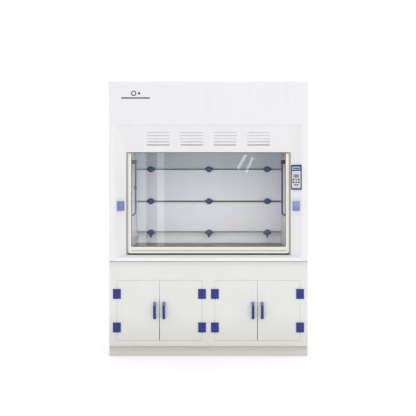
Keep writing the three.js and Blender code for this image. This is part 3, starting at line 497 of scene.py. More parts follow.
def prism_mesh(points, depth):
    """An outline of (x, z) points, thick from y = 0 to y = -depth."""
    mesh = bmesh.new()
    face = mesh.faces.new([mesh.verts.new((x, 0, z)) for x, z in points])
    grown = bmesh.ops.extrude_face_region(mesh, geom=[face])
    bmesh.ops.translate(
        mesh, vec=(0, -depth, 0), verts=[v for v in grown["geom"] if isinstance(v, bmesh.types.BMVert)])
    bmesh.ops.recalc_face_normals(mesh, faces=mesh.faces[:])
    return mesh


def rounded_plate(width, height, depth, radius, soften):
    """A plate with round corners about the origin, thick from y = 0 to y = -depth."""
    steps = 6
    points = []
    for quarter, (sx, sz) in enumerate(((1, 1), (-1, 1), (-1, -1), (1, -1))):
        for step in range(steps + 1):
            angle = math.pi / 2 * (quarter + step / steps)
            x = sx * (width / 2 - radius) + radius * math.cos(angle)
            z = sz * (height / 2 - radius) + radius * math.sin(angle)
            points.append((x, z))
    mesh = prism_mesh(points, depth)
    soften_sharp(mesh, soften, segments=2, angle=50)
    return mesh


def skinned(mesh, rings, segments):
    """Faces between each ring of vertices and the next; a ring of one vertex is a tip."""
    for first, second in zip(rings, rings[1:]):
        for step in range(segments):
            after = (step + 1) % segments
            corners = [first[step % len(first)], first[after % len(first)],
                       second[after % len(second)], second[step % len(second)]]
            unique = list(dict.fromkeys(corners))
            if len(unique) > 2:
                mesh.faces.new(unique)
    bmesh.ops.recalc_face_normals(mesh, faces=mesh.faces[:])
    return mesh


def lathe_mesh(profile, segments, lobes=0, lobe_size=0.0):
    """A profile of (radius, along) points turned about Y; a radius of 0 closes an end."""
    mesh = bmesh.new()
    rings = []
    for radius, along in profile:
        if radius == 0:
            rings.append([mesh.verts.new((0, along, 0))])
            continue
        ring = []
        for step in range(segments):
            angle = 2 * math.pi * step / segments
            reach = radius * (1 + lobe_size * math.cos(lobes * angle))
            ring.append(mesh.verts.new((reach * math.cos(angle), along, reach * math.sin(angle))))
        rings.append(ring)
    return skinned(mesh, rings, segments)


def tube_mesh(points, radius, sides, caps=True):
    """A round tube through the points, with its section kept square to the route."""
    mesh = bmesh.new()
    points = [Vector(p) for p in points]
    across = None
    rings = []
    for index, point in enumerate(points):
        before = points[max(index - 1, 0)]
        after = points[min(index + 1, len(points) - 1)]
        along = (after - before).normalized()
        if across is None:
            across = along.orthogonal().normalized()
        across = (across - along * across.dot(along)).normalized()
        side = along.cross(across)
        ring = []
        for step in range(sides):
            angle = 2 * math.pi * step / sides
            offset = across * math.cos(angle) + side * math.sin(angle)
            ring.append(mesh.verts.new(point + offset * radius))
        rings.append(ring)
    if caps:
        mesh.faces.new(rings[0][::-1])
        mesh.faces.new(rings[-1])
    return skinned(mesh, rings, sides)


def arc(centre, radius, start, end, steps):
    """Points of an upright arc, angles in degrees from +X towards +Z."""
    points = []
    for step in range(steps + 1):
        angle = math.radians(start + (end - start) * step / steps)
        points.append(Vector(centre) + radius * Vector((math.cos(angle), 0, math.sin(angle))))
    return points


def ring_mesh(low, high, border, depth):
    """A rectangular ring in the XZ plane: outer corners low and high as (x, z), from y = 0 to -depth."""
    mesh = bmesh.new()
    outline = []
    for inset in (0, border):
        left, bottom, right, top = low[0] + inset, low[1] + inset, high[0] - inset, high[1] - inset
        outline += [(left, bottom), (right, bottom), (right, top), (left, top)]
    back, front = ([mesh.verts.new((x, y, z)) for x, z in outline] for y in (0, -depth))
    for step in range(4):
        after = (step + 1) % 4
        mesh.faces.new((front[step], front[after], front[4 + after], front[4 + step]))
        mesh.faces.new((back[after], back[step], back[4 + step], back[4 + after]))
        mesh.faces.new((back[step], back[after], front[after], front[step]))
        mesh.faces.new((back[4 + after], back[4 + step], front[4 + step], front[4 + after]))
    bmesh.ops.recalc_face_normals(mesh, faces=mesh.faces[:])
    return mesh


def as_data(mesh, name="part"):
    """The mesh as mesh data; the mesh itself is used up."""
    data = bpy.data.meshes.new(name)
    mesh.to_mesh(data)
    mesh.free()
    return data


def joined(meshes):
    """Several meshes as one, each left as it is."""
    whole = bmesh.new()
    for mesh in meshes:
        data = as_data(mesh)
        whole.from_mesh(data)
        bpy.data.meshes.remove(data)
    return whole


def copies(mesh, places):
    """The mesh once at each place, as one mesh."""
    data = as_data(mesh)
    whole = bmesh.new()
    for place in places:
        placed = data.copy()
        placed.transform(place)
        whole.from_mesh(placed)
        bpy.data.meshes.remove(placed)
    bpy.data.meshes.remove(data)
    return whole


SMOOTH_ANGLE = math.radians(35)
UPRIGHT = turn(90, "X")       # stands a lathed mesh up on its end


def add_piece(name, mesh, material, place=None, body="cabinet"):
    if place is not None:
        mesh.transform(place)
    data = as_data(mesh, name)
    data.polygons.foreach_set("use_smooth", [True] * len(data.polygons))
    data.set_sharp_from_angle(angle=SMOOTH_ANGLE)
    data.materials.append(MATERIALS[material])
    piece = in_scene(name, data)
    if body:
        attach(piece, body)
    return piece


# ---- CAD nodes: materials and rounded edges

SHEET_EDGE = 0.0012
EDGE_LOOKS = (            # material, width of the rounded edges, nodes
    ("plinth", 0.002, ["plinth"]), ("base", SHEET_EDGE, ["base_cabinet"]), ("back", SHEET_EDGE, ["back_panel"]),
    ("white", SHEET_EDGE, ["left_side_panel", "right_side_panel", "roof_panel", "header_panel", "exhaust_duct"]),
    ("louvre", 0.0008, ["louvre_panel"]), ("post", SHEET_EDGE, ["left_post", "right_post"]),
    ("sill", 0.0015, ["front_sill"]), ("liner", 0.0008, ["chamber_liner"]), ("white", 0.002, ["light_fitting"]),
    ("baffle", 0.001, ["lower_baffle", "middle_baffle"]), ("upper_baffle", 0.001, ["upper_baffle"]),
    ("worktop", 0.002, ["worktop"]), ("track", 0.0008, ["left_sash_track", "right_sash_track"]),
    ("bright_steel", 0.002, ["pulley_beam"]), ("sash", 0.0015, ["sash_frame"]), ("glass", 0.0006, ["sash_glass"]),
    ("grey_steel", 0.003, ["left_counterweight", "right_counterweight"]),
    ("dark_blue", 0.0006, ["left_pulley", "right_pulley"]), ("dark_blue", 0.002, ["control_box"]),
    ("white_moulding", 0.0015, ["left_socket_box", "right_socket_box"]),
    ("cover", 0.0015, ["left_socket_cover"]), ("lit_cover", 0.0015, ["right_socket_cover"]),
    ("door", 0.002, DOORS), ("handle_blue", 0.0045, [f"{door}_handle" for door in DOORS]),
    ("hinge_blue", 0.0009, [
        f"{door}_hinge_{hinge}_{leaf}_leaf" for door in DOORS for hinge in (1, 2) for leaf in ("frame", "door")]),
)
NODE_LOOKS = {name: (material, edge) for material, edge, names in EDGE_LOOKS for name in names}

for name, (material, edge) in NODE_LOOKS.items():
    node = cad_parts[name]
    node.data.materials.clear()
    node.data.materials.append(MATERIALS[material])
    rounding = node.modifiers.new("rounded_edges", "BEVEL")
    rounding.width = edge
    rounding.segments = 3
    rounding.limit_method = "ANGLE"
    rounding.angle_limit = math.radians(30)
    rounding.harden_normals = True

# light passes the clear pane instead of being blocked by it
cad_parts["sash_glass"].visible_shadow = False


# ---- sash: bumper, gaskets, groove strip and stile caps; the strip and caps are painted shade

STILE_X = 0.6835          # middle of the sash's upright members
STILE_SHADOW_CAP_HALF = 0.0125
BEAD = 0.0035             # width and depth of the rubber round the glass


def make_sash_details():
    inset = 0.022
    bumper = box_mesh(
        (SASH_LOW.x + inset, SASH_Y - 0.0085, SILL_TOP_Z + 0.0015),
        (SASH_HIGH.x - inset, SASH_Y + 0.0085, SASH_LOW.z - GAP), soften=0.003)
    add_piece("sash_bumper", bumper, "rubber", body="sash")
    rebate = 0.010
    window_x = GLASS_HIGH.x - rebate
    window_low, window_high = GLASS_LOW.z + rebate, GLASS_HIGH.z - rebate
    for name, y in (("front", SASH_LOW.y + 2 * BEAD + 0.0002), ("back", SASH_HIGH.y - BEAD)):
        bead = ring_mesh((-window_x, window_low), (window_x, window_high), BEAD, BEAD)
        soften_sharp(bead, 0.001, segments=2)
        add_piece(f"sash_{name}_gasket", bead, "rubber", move((0, y, 0)), body="sash")
    # a greenish-grey strip in the rail's finger groove: painted shade, since the shallow groove's own shade is
    # too faint
    strip = box_mesh(
        (-window_x, SASH_LOW.y + 0.0012, SASH_LOW.z + 0.0205),
        (window_x, SASH_LOW.y + 0.0039, SASH_LOW.z + 0.0275), soften=0.0008)
    add_piece("sash_rail_groove_shade_strip", strip, "groove", body="sash")
    # darker caps at the stiles' tops: painted shadow where the stiles pass behind the louvre panel
    caps = []
    for side in SIDES.values():
        low = (side * STILE_X - STILE_SHADOW_CAP_HALF, SASH_LOW.y - 0.0012, SASH_HIGH.z - 0.0215)
        high = (side * STILE_X + STILE_SHADOW_CAP_HALF, SASH_LOW.y - 0.0002, SASH_HIGH.z - 0.0010)
        caps.append(box_mesh(low, high, soften=0.0004))
    add_piece("sash_stile_shadow_caps", joined(caps), "track", body="sash")


make_sash_details()


# ---- baffle knobs and studs

KNOB_X = (-0.577, 0.0, 0.577)
KNOB_ROWS = {
    "lower": BOTTOM_SLOT_Z - 0.012,
    "middle": MIDDLE_SLOT_Z,
    "upper": (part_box("middle_baffle")[1].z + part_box("upper_baffle")[0].z) / 2,
}
WASHER_THICKNESS = 0.0022


def knob_mesh():
    """A lobed clamping knob with two tapered wings; y = 0 is the face it clamps."""
    hub = lathe_mesh(
        [(0, -0.034), (0.010, -0.0338), (0.019, -0.0315), (0.0250, -0.0265), (0.0292, -0.019),
         (0.0305, -0.011), (0.0302, -0.004), (0.0285, -0.0008), (0, -0.0008)],
        segments=48, lobes=6, lobe_size=0.045)
    wings = []
    for side in SIDES.values():
        outline = [(0.020, -0.019), (0.032, -0.0125), (0.0395, -0.0060), (0.0415, 0),
                   (0.0395, 0.0060), (0.032, 0.0125), (0.020, 0.019)]
        wing = prism_mesh([(side * x, z) for x, z in outline], 0.018)
        soften_sharp(wing, 0.003, segments=3, angle=40)
        wing.transform(move((0, -0.004, 0)))
        wings.append(wing)
    return joined([hub, *wings])


def make_knobs():
    clamp_y = BAFFLE_Y - GAP - WASHER_THICKNESS - 0.0001
    for row, z in KNOB_ROWS.items():
        for number, x in enumerate(KNOB_X, 1):
            place = move((x, clamp_y, z))
            add_piece(f"{row}_knob_{number}", knob_mesh(), "knob_blue", place)

    def at_knobs(y):
        return [move((x, y, z)) for z in KNOB_ROWS.values() for x in KNOB_X]

    washer = lathe_mesh(
        [(0.009, 0), (0.0345, 0), (0.0350, -0.0008), (0.0345, -WASHER_THICKNESS), (0.009, -WASHER_THICKNESS),
         (0.009, 0)], 40)
    add_piece("knob_washers", copies(washer, at_knobs(BAFFLE_Y - GAP)), "white_moulding")
    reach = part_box("back_panel")[0].y - BAFFLE_Y
    stud = lathe_mesh(
        [(0, 0), (0.0055, 0), (0.0055, reach - 0.012), (0.014, reach - 0.010), (0.014, reach - GAP),
         (0, reach - GAP)], 20)
    add_piece("baffle_studs", copies(stud, at_knobs(BAFFLE_Y - 0.002)), "white_moulding")
    tip = lathe_mesh([(0, 0), (0.0095, 0), (0.0102, 0.002), (0.0102, 0.014), (0.008, 0.019), (0, 0.020)], 24)
    tip_z = KNOB_ROWS["lower"] - 0.0300
    tips = copies(tip, [move((x, clamp_y - 0.014, tip_z)) @ turn(-90, "X") for x in KNOB_X])
    add_piece("lower_knob_tips", tips, "knob_dark")


make_knobs()


# ---- service rods

ROD_RADIUS = 0.0075
ROD_OFF_WALL = 0.044
ROD_BEND = 0.036
BRACKET_HEIGHT, BRACKET_HALF_DEPTH = 0.036, 0.0165
COLLAR_Z = 1.441


def make_service_rods():
    wall_x = LINER_HALF_X - GAP
    rod_x = LINER_HALF_X - ROD_OFF_WALL
    for name, side in SIDES.items():
        low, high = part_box(f"{name}_service_rod")
        y = (low.y + high.y) / 2
        foot_z = low.z + 0.008
        route = [Vector((wall_x, y, foot_z))]
        route += arc((rod_x + ROD_BEND, y, foot_z + ROD_BEND), ROD_BEND, 270, 180, 14)
        route.append(Vector((rod_x, y, high.z - BRACKET_HEIGHT / 2)))
        bracket = box_mesh(
            (rod_x - 0.0115, y - BRACKET_HALF_DEPTH, high.z - BRACKET_HEIGHT),
            (wall_x, y + BRACKET_HALF_DEPTH, high.z), 0.004)
        flange = lathe_mesh(
            [(0, 0), (0.0165, 0), (0.0165, -0.003), (0.011, -0.006), (0.0075, -0.010), (0, -0.010)], 32)
        flange.transform(move((wall_x, y, foot_z)) @ turn(-90, "Z"))
        whole = joined([tube_mesh(route, ROD_RADIUS, sides=20), bracket, flange])
        whole.transform(Matrix.Diagonal((side, 1, 1, 1)))
        if side < 0:
            bmesh.ops.reverse_faces(whole, faces=whole.faces[:])
        piece = add_piece(f"{name}_rod_moulding", whole, "rod_blue")
        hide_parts(f"{name}_service_rod")
    collar = lathe_mesh(
        [(0.007, -0.013), (0.0105, -0.0115), (0.0130, -0.007), (0.0135, 0), (0.0130, 0.007),
         (0.0105, 0.0115), (0.007, 0.013), (0.007, -0.013)], 28)
    place = move((-rod_x, y, COLLAR_Z)) @ UPRIGHT
    add_piece("left_rod_collar", collar, "knob_dark", place)


make_service_rods()


# ---- control box

CONTROL_DEPTH, CONTROL_RECESS = 0.010, 0.002
FACE_WIDTH = 0.080        # the housing's opening, less a clearance
DISPLAY_Z = 0.0115
DIGIT_PITCH = 0.012
SEGMENT_HALF = 0.0007
KEY_HEIGHT = 0.0138
KEYS = (                  # x, z and width, from the face's centre
    (-0.025, -0.019, 0.015), (0.000, -0.019, 0.012), (0.024, -0.019, 0.016),
    (-0.025, -0.042, 0.015), (0.000, -0.042, 0.012), (0.024, -0.042, 0.016),
    (-0.010, -0.063, 0.012), (0.010, -0.063, 0.012),
)
STOP_KEY = 5


def make_controls():
    low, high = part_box("control_box")
    height = high.z - low.z
    half = height / 2
    place = bevel_place("control_box", 1, CONTROL_DEPTH)
    floor = -(CONTROL_DEPTH + GAP) + CONTROL_RECESS

    def flat(name, material, x, z, width, height, thick, radius, raise_by=0.0, soften=0.0003):
        mesh = rounded_plate(width, height, thick, radius, soften)
        offset = move((x, floor - raise_by, z))
        add_piece(f"control_{name}", mesh, material, place @ offset)

    flat("band", "dark_blue", 0, half - 0.0240, FACE_WIDTH, 0.0335, 0.0012, 0.002)
    flat("label", "label_pale", 0, half - 0.0275, FACE_WIDTH - 0.006, 0.0270, 0.0005, 0.0015, 0.0014)
    flat("label_graphic", "label_grey", 0.002, half - 0.0295, FACE_WIDTH - 0.018, 0.0135, 0.0003, 0.004, 0.0020)
    flat("membrane", "membrane", 0, -0.0190, FACE_WIDTH, height - 0.0640, 0.0012, 0.002)
    flat("display_bezel", "label_grey", 0, DISPLAY_Z, 0.047, 0.0280, 0.0008, 0.002, 0.0013)
    flat("display", "display", 0, DISPLAY_Z, 0.042, 0.0225, 0.0006, 0.001, 0.0022)
    segments = []
    for digit in range(3):
        x = digit * DIGIT_PITCH
        for z in (-0.006, 0.006):
            segments.append(box_mesh((x - 0.016, -GAP, z - SEGMENT_HALF), (x - 0.009, 0, z + SEGMENT_HALF)))
        for upright in (x - 0.0165, x - 0.0085):
            segments.append(box_mesh((upright - SEGMENT_HALF, -GAP, -0.006), (upright + SEGMENT_HALF, 0, 0.006)))
    add_piece(
        "control_display_digits", joined(segments), "black_plastic",
        place @ move((0, floor - 0.0029, DISPLAY_Z)))
    for number, (x, z, width) in enumerate(KEYS, 1):
        material = "key_red" if number == STOP_KEY else "key_dark"
        flat(f"key_{number}", material, x, z, width, KEY_HEIGHT, 0.0016, 0.0035, 0.0013, soften=0.0006)


make_controls()


# ---- sockets

def cut_with(mesh, cutters):
    """The mesh without the cutters' shapes."""
    body, knife = (in_scene("cut", as_data(part)) for part in (mesh, joined(cutters)))
    cut = body.modifiers.new("cut", "BOOLEAN")
    cut.object = knife
    cut.operation = "DIFFERENCE"
    cut.solver = "EXACT"
    bpy.context.view_layer.update()
    result = bmesh.new()
    result.from_mesh(body.evaluated_get(bpy.context.evaluated_depsgraph_get()).to_mesh())
    for thing in (body, knife):
        data = thing.data
        bpy.data.objects.remove(thing)
        bpy.data.meshes.remove(data)
    return result


OUTLET_SLOTS = (          # x, z and lean in degrees: two upright above, three below
    (-0.0095, 0.014, 0), (0.0095, 0.014, 0), (0, -0.006, 0), (-0.011, -0.019, 35), (0.011, -0.019, -35),
)
SOCKET_PLATE, SOCKET_COVER, OUTLET_RECESS = 0.010, 0.016, 0.003


def outlet_mesh():
    face = rounded_plate(0.0470, 0.0680, 0.0022, 0.003, 0.0006)
    slots = []
    for x, z, lean in OUTLET_SLOTS:
        slot = box_mesh((-0.0012, -0.004, -0.0048), (0.0012, -0.0006, 0.0048))
        slot.transform(move((x, 0, z)) @ turn(lean, "Y"))
        slots.append(slot)
    return cut_with(face, slots)


def make_sockets():
    low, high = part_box("right_socket_box")
    half = (high.z - low.z) / 2
    for name, side in SIDES.items():
        place = bevel_place(f"{name}_socket_box", side, SOCKET_PLATE)
        outlet = place @ move((0, -SOCKET_PLATE - GAP + OUTLET_RECESS - 0.0001, 0))
        add_piece(f"{name}_outlet", outlet_mesh(), "white_moulding", outlet)
        body = f"{name}_socket_cover"
        barrel = lathe_mesh(
            [(0, -0.022), (0.0026, -0.022), (0.0029, -0.021), (0.0029, 0.021), (0.0026, 0.022), (0, 0.022)], 20)
        barrel.transform(move((0, -SOCKET_PLATE - 2 * GAP - 0.0031, half - 0.0034)) @ turn(90, "Z"))
        tint = NODE_LOOKS[body][0]
        add_piece(f"{name}_cover_barrel", barrel, tint, place, body)
        lip = box_mesh((-0.012, -0.0025, -0.0016), (0.012, 0, 0.0016), 0.0008)
        lift = move((0, -SOCKET_PLATE - 2 * GAP - SOCKET_COVER + 0.0045, 0.0030 - half))
        add_piece(f"{name}_cover_thumb_lip", lip, tint, place @ lift, body)


make_sockets()


# ---- header mark, a plain ring over a bar

MARK_X, MARK_Z = -0.6225, 2.240
INK = 0.0006              # how far the mark stands proud


def make_header_mark():
    def at(x, z):
        return move((MARK_X + x, FRONT_Y - 0.0001, MARK_Z + z))

    bar = rounded_plate(0.245, 0.011, 0.0007, 0.003, 0.0002)
    bar.transform(at(0, -0.030))
    ring = lathe_mesh([(0.0145, 0), (0.0230, 0), (0.0230, -INK), (0.0145, -INK), (0.0145, 0)], 48)
    ring.transform(at(-0.016, 0.010))
    dot = lathe_mesh([(0, 0), (0.0105, 0), (0.0105, -INK), (0, -INK)], 32)
    dot.transform(at(0.030, 0.010))
    add_piece("header_mark", joined([bar, ring, dot]), "mark_grey")


make_header_mark()


# ---- sash cables

CABLE_RADIUS, ROPE_RADIUS = 0.002, 0.035


def make_cables():
    for name, side in SIDES.items():
        low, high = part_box(f"{name}_pulley")
        centre = (low + high) / 2
        weight = f"{name}_counterweight"
        weight_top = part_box(weight)[1].z
        sash_x, weight_x = centre.x - side * ROPE_RADIUS, centre.x + side * ROPE_RADIUS
        over = tube_mesh(arc(centre, ROPE_RADIUS, 0, 180, 24), CABLE_RADIUS, sides=12, caps=False)
        piece = add_piece(f"{name}_cable_over_pulley", over, "wire")
        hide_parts(f"{name}_sash_cable")
        sash_end = Vector((sash_x, centre.y, SASH_HIGH.z + GAP))
        sash_top = Vector((sash_x, centre.y, centre.z))
        rope = tube_mesh([sash_end, sash_top], CABLE_RADIUS, sides=12)
        run = add_piece(f"{name}_cable_to_sash", rope, "wire", body=None)
        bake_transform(run)
        weight_end = Vector((weight_x, centre.y, weight_top + GAP))
        weight_side_top = Vector((weight_x, centre.y, centre.z))
        rope = tube_mesh([weight_side_top, weight_end], CABLE_RADIUS, sides=12)
        run = add_piece(f"{name}_cable_to_weight", rope, "wire", body=None)
        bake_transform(run)
        for body, x, z in (("sash", sash_x, SASH_HIGH.z), (weight, weight_x, weight_top)):
            eye = lathe_mesh(
                [(0, 0), (0.006, 0), (0.006, 0.006), (0.0035, 0.012), (0.0035, 0.016), (0, 0.016)], 24)
            eye.transform(move((x, centre.y, z + GAP)) @ UPRIGHT)
            add_piece(f"{name}_{body}_cable_eye", eye, "bright_steel", body=body)


make_cables()


# ---- duct collar

def make_duct():
    low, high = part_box("exhaust_duct")
    centre = (low + high) / 2
    bore, outer, flange = 0.122, 0.130, 0.155
    collar = lathe_mesh(
        [(bore, low.z), (flange, low.z), (flange, low.z + SHEET), (outer, low.z + SHEET),
         (outer, high.z - 0.012), (outer - 0.0004, high.z - 0.003), (outer - 0.002, high.z),
         (bore + 0.002, high.z), (bore + 0.0003, high.z - 0.002), (bore, low.z)], 96)
    place = move((centre.x, centre.y, 0)) @ UPRIGHT
    piece = add_piece("duct_collar", collar, "white", place)
    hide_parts("exhaust_duct")
    bead = lathe_mesh(
        [(outer + 0.0004, TOP_Z), (outer + 0.006, TOP_Z + 0.0004), (outer + 0.0045, TOP_Z + 0.0035),
         (outer + 0.0018, TOP_Z + 0.0058), (outer + 0.0002, TOP_Z + 0.0062), (outer + 0.0004, TOP_Z)], 96)
    add_piece("duct_weld", bead, "white", place)


make_duct()


# ---- louvre blades and the opening's top seal

SLOT_GROUPS_X = (-0.432, -0.144, 0.144, 0.432)
SLOT_LOWEST_Z, SLOT_PITCH, SLOT_LENGTH = 1.813, 0.027, 0.193
SLOT_HALF_HEIGHT = 0.0043
BLADE_HEIGHTS = (0.0024, 0.0038, 0.0064, 0.0067, 0.0070)
BLADE_HALF_LENGTH = SLOT_LENGTH / 2 - GAP
TOP_SEAL_HALF = 0.695
LOUVRE_TOP_Y = FRONT_Y + SHEET + GAP
LOUVRE_LOW_Y = FRONT_Y + BEVEL_RECESS


def louvre_face_y(z):
    """Where the louvre panel's outer face is at a height."""
    share = (z - LOUVRE_LOW_Z) / (HEADER_LOW_Z - LOUVRE_LOW_Z)
    return LOUVRE_LOW_Y + (LOUVRE_TOP_Y - LOUVRE_LOW_Y) * share


def make_louvre_blades():
    lean = Matrix.Rotation(math.atan2(LOUVRE_LOW_Y - LOUVRE_TOP_Y, HEADER_LOW_Z - LOUVRE_LOW_Z), 4, "X")
    blades = []
    for x in SLOT_GROUPS_X:
        for row, height in enumerate(BLADE_HEIGHTS):
            top_z = SLOT_LOWEST_Z + row * SLOT_PITCH + SLOT_HALF_HEIGHT
            blade = box_mesh((-BLADE_HALF_LENGTH, 0.0008, -height), (BLADE_HALF_LENGTH, 0.0034, 0), 0.0006)
            blade.transform(move((x, louvre_face_y(top_z), top_z)) @ lean)
            blades.append(blade)
    add_piece("louvre_blades", joined(blades), "white")
    seal = box_mesh(
        (-TOP_SEAL_HALF, LOUVRE_LOW_Y + 0.001, LOUVRE_LOW_Z - 0.0045),
        (TOP_SEAL_HALF, LOUVRE_LOW_Y + 0.0075, LOUVRE_LOW_Z - GAP), 0.001)
    add_piece("opening_top_seal", seal, "rubber")


make_louvre_blades()


# ---- chamber light

PANE_EDGE, GASKET_WIDTH = 0.014, 0.0016


def make_light():
    low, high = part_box("light_fitting")
    pane = box_mesh(
        (low.x + PANE_EDGE, low.y + PANE_EDGE, LINER_TOP_Z - 0.0062),
        (high.x - PANE_EDGE, high.y - PANE_EDGE, LINER_TOP_Z - 0.0012), 0.001)
    add_piece("light_diffuser", pane, "diffuser")
    edge = PANE_EDGE - GASKET_WIDTH - 0.0002
    gasket = ring_mesh((low.x + edge, low.y + edge), (high.x - edge, high.y - edge), GASKET_WIDTH, 0.006)
    gasket.transform(UPRIGHT.inverted())
    add_piece("light_gasket", gasket, "rubber", move((0, 0, LINER_TOP_Z - 0.0070)))


make_light()


# ---- screws, welds and catches

def screw_head():
    """A low domed head with a cross recess; y = 0 is the face it stands on."""
    dome = lathe_mesh(
        [(0, -0.0026), (0.0016, -0.00255), (0.0032, -0.0021), (0.0043, -0.0012), (0.0046, 0), (0, 0)], 24)
    arms = [box_mesh((-0.0024, -0.004, -0.00045), (0.0024, -0.0012, 0.00045)),
            box_mesh((-0.00045, -0.004, -0.0024), (0.00045, -0.0012, 0.0024))]
    return cut_with(dome, arms)


def screws(name, places, material, body):
    """Screw heads, each turned by chance as a hand leaves it."""
    turned = [place @ Matrix.Rotation(random.uniform(0, math.pi), 4, "Y") for place in places]
    add_piece(name, copies(screw_head(), turned), material, body=body)


def facing(point, direction):
    """A screw's place: its head stands towards the direction."""
    return move(point) @ Vector((0, -1, 0)).rotation_difference(Vector(direction)).to_matrix().to_4x4()


HINGE_SCREW_PITCH = 0.026
LEAF_THICKNESS = 0.005
LEAF_SCREW_OFFSET = 0.005


def make_hinge_screws():
    for door in DOORS:
        for leaf, other, body in (("frame", "door", "cabinet"), ("door", "frame", door)):
            places = []
            for hinge in (1, 2):
                low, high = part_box(f"{door}_hinge_{hinge}_{leaf}_leaf")
                other_low, other_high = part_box(f"{door}_hinge_{hinge}_{other}_leaf")
                away = 1 if low.x + high.x > other_low.x + other_high.x else -1
                x = (low.x + high.x) / 2 + away * LEAF_SCREW_OFFSET
                middle_z = (low.z + high.z) / 2
                for z in (middle_z - HINGE_SCREW_PITCH, middle_z, middle_z + HINGE_SCREW_PITCH):
                    places.append(facing((x, high.y - LEAF_THICKNESS, z), (0, -1, 0)))
            screws(f"{door}_{leaf}_hinge_screws", places, "dark_blue", body)


SIDE_SCREWS_Z = (0.87, 1.18, 1.49, 1.80, 2.11, 2.30)
BACK_SCREWS_X = (-0.81, -0.54, -0.27, 0, 0.27, 0.54, 0.81)
BACK_SCREWS_Z = (0.85, 2.31)
DUCT_CLEARANCE = 0.2
SUNK = 0.0027             # how deep a head stands in its face
BACK_EDGE_Y = BACK_Y - 0.030


def make_panel_screws():
    places = []
    for side in SIDES.values():
        for z in SIDE_SCREWS_Z:
            for y in (FRONT_Y + 0.045, BACK_EDGE_Y):
                places.append(facing((side * (HALF_WIDTH - SUNK), y, z), (side, 0, 0)))
    for x in BACK_SCREWS_X:
        for z in BACK_SCREWS_Z:
            places.append(facing((x, BACK_Y - SUNK, z), (0, 1, 0)))
        if abs(x) > DUCT_CLEARANCE:
            for y in (BACK_EDGE_Y, FRONT_Y + 0.040):
                places.append(facing((x, y, TOP_Z), (0, 0, 1)))
    screws("casing_screws", places, "white_moulding", "cabinet")


RIPPLE, RIPPLES_PER_METRE = 0.18, 520


def weld(start, end, radius=0.0016):
    """A hand-welded bead: a thin tube whose thickness wavers along it."""
    start, end = Vector(start), Vector(end)
    count = max(2, int((end - start).length / 0.012))
    bead = tube_mesh([start.lerp(end, step / count) for step in range(count + 1)], radius, sides=8)
    direction = (end - start).normalized()
    for vertex in bead.verts:
        along = (vertex.co - start).dot(direction)
        nearest = start + direction * along
        vertex.co = nearest + (vertex.co - nearest) * (1 + RIPPLE * math.sin(along * RIPPLES_PER_METRE))
    return bead


SILL_WELD_FOOT_Z = 0.846
CABINET_FLOOR_Z = 0.098


def make_welds():
    top_x = BEVEL_OUTER_X - (SHEET + GAP) * (BEVEL_OUTER_X - BEVEL_INNER_X) / BEVEL_RECESS
    inset = 0.001
    corner_x = LINER_HALF_X - inset
    beads = []
    for side in SIDES.values():
        beads.append(weld((side * BEVEL_INNER_X, LOUVRE_LOW_Y, LOUVRE_LOW_Z + 0.004),
                          (side * top_x, LOUVRE_TOP_Y, HEADER_LOW_Z - 0.002)))
        beads.append(weld((side * (BEVEL_OUTER_X - inset), FRONT_Y + 0.0012, SILL_WELD_FOOT_Z),
                          (side * (BEVEL_INNER_X - inset), LOUVRE_LOW_Y, SILL_TOP_Z)))
        beads.append(weld((side * corner_x, LINER_BACK_Y, WORKTOP_TOP_Z),
                          (side * corner_x, LINER_BACK_Y, LINER_TOP_Z - SHEET)))
    header_weld = (LOUVRE_TOP_Y + 0.0006, HEADER_LOW_Z - 0.0008)
    beads.append(weld((-top_x, *header_weld), (top_x, *header_weld)))
    add_piece("front_welds", joined(beads), "white")
    cabinet = []
    back = BACK_Y - SHEET - inset
    for side in SIDES.values():
        x = side * (HALF_WIDTH - SHEET - inset)
        cabinet.append(weld((x, back, 0.10), (x, back, BASE_TOP_Z - SHEET), 0.0025))
        cabinet.append(weld((x, back, CABINET_FLOOR_Z), (x, CABINET_FRONT_Y + 0.03, CABINET_FLOOR_Z), 0.0025))
    add_piece("cabinet_welds", joined(cabinet), "base")


def make_joint_shadow_strip():
    """A dark strip between the upper casing and the base cabinet: a painted shadow line under the casing."""
    half = HALF_WIDTH - 0.004
    seal = box_mesh(
        (-half, CABINET_FRONT_Y - 0.0035, BASE_TOP_Z - 0.0042),
        (half, CABINET_FRONT_Y - GAP, BASE_TOP_Z - 0.0004), 0.001)
    add_piece("casing_joint_shadow_strip", seal, "rubber")


DOOR_REVEAL = 0.001       # between a door's back and the stop behind it
CATCH_Z = 0.640


def make_catches():
    for door in DOORS:
        door_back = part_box(door)[1].y
        handle_low, handle_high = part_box(f"{door}_handle")
        x = (handle_low.x + handle_high.x) / 2
        behind_stop = door_back + DOOR_REVEAL + SHEET + GAP
        foot_z, nose_z = CATCH_Z - 0.013, CATCH_Z - 0.001

        def block(half, front, low_z, back, high_z, soften):
            return box_mesh((x - half, front, low_z), (x + half, back, high_z), soften)

        body = block(0.020, behind_stop, foot_z, behind_stop + 0.018, CATCH_Z + 0.016, 0.0015)
        nose = block(0.014, door_back + 0.0022, CATCH_Z - 0.012, behind_stop + 0.002, nose_z, 0.001)
        add_piece(f"{door}_magnet", joined([body, nose]), "white_moulding")
        plate = block(0.018, door_back + GAP, foot_z, door_back + 0.0016, nose_z, 0.0005)
        add_piece(f"{door}_strike_plate", plate, "bright_steel", body=door)


make_hinge_screws()
make_panel_screws()
make_welds()
make_joint_shadow_strip()
make_catches()


# ---- floor, world and lights

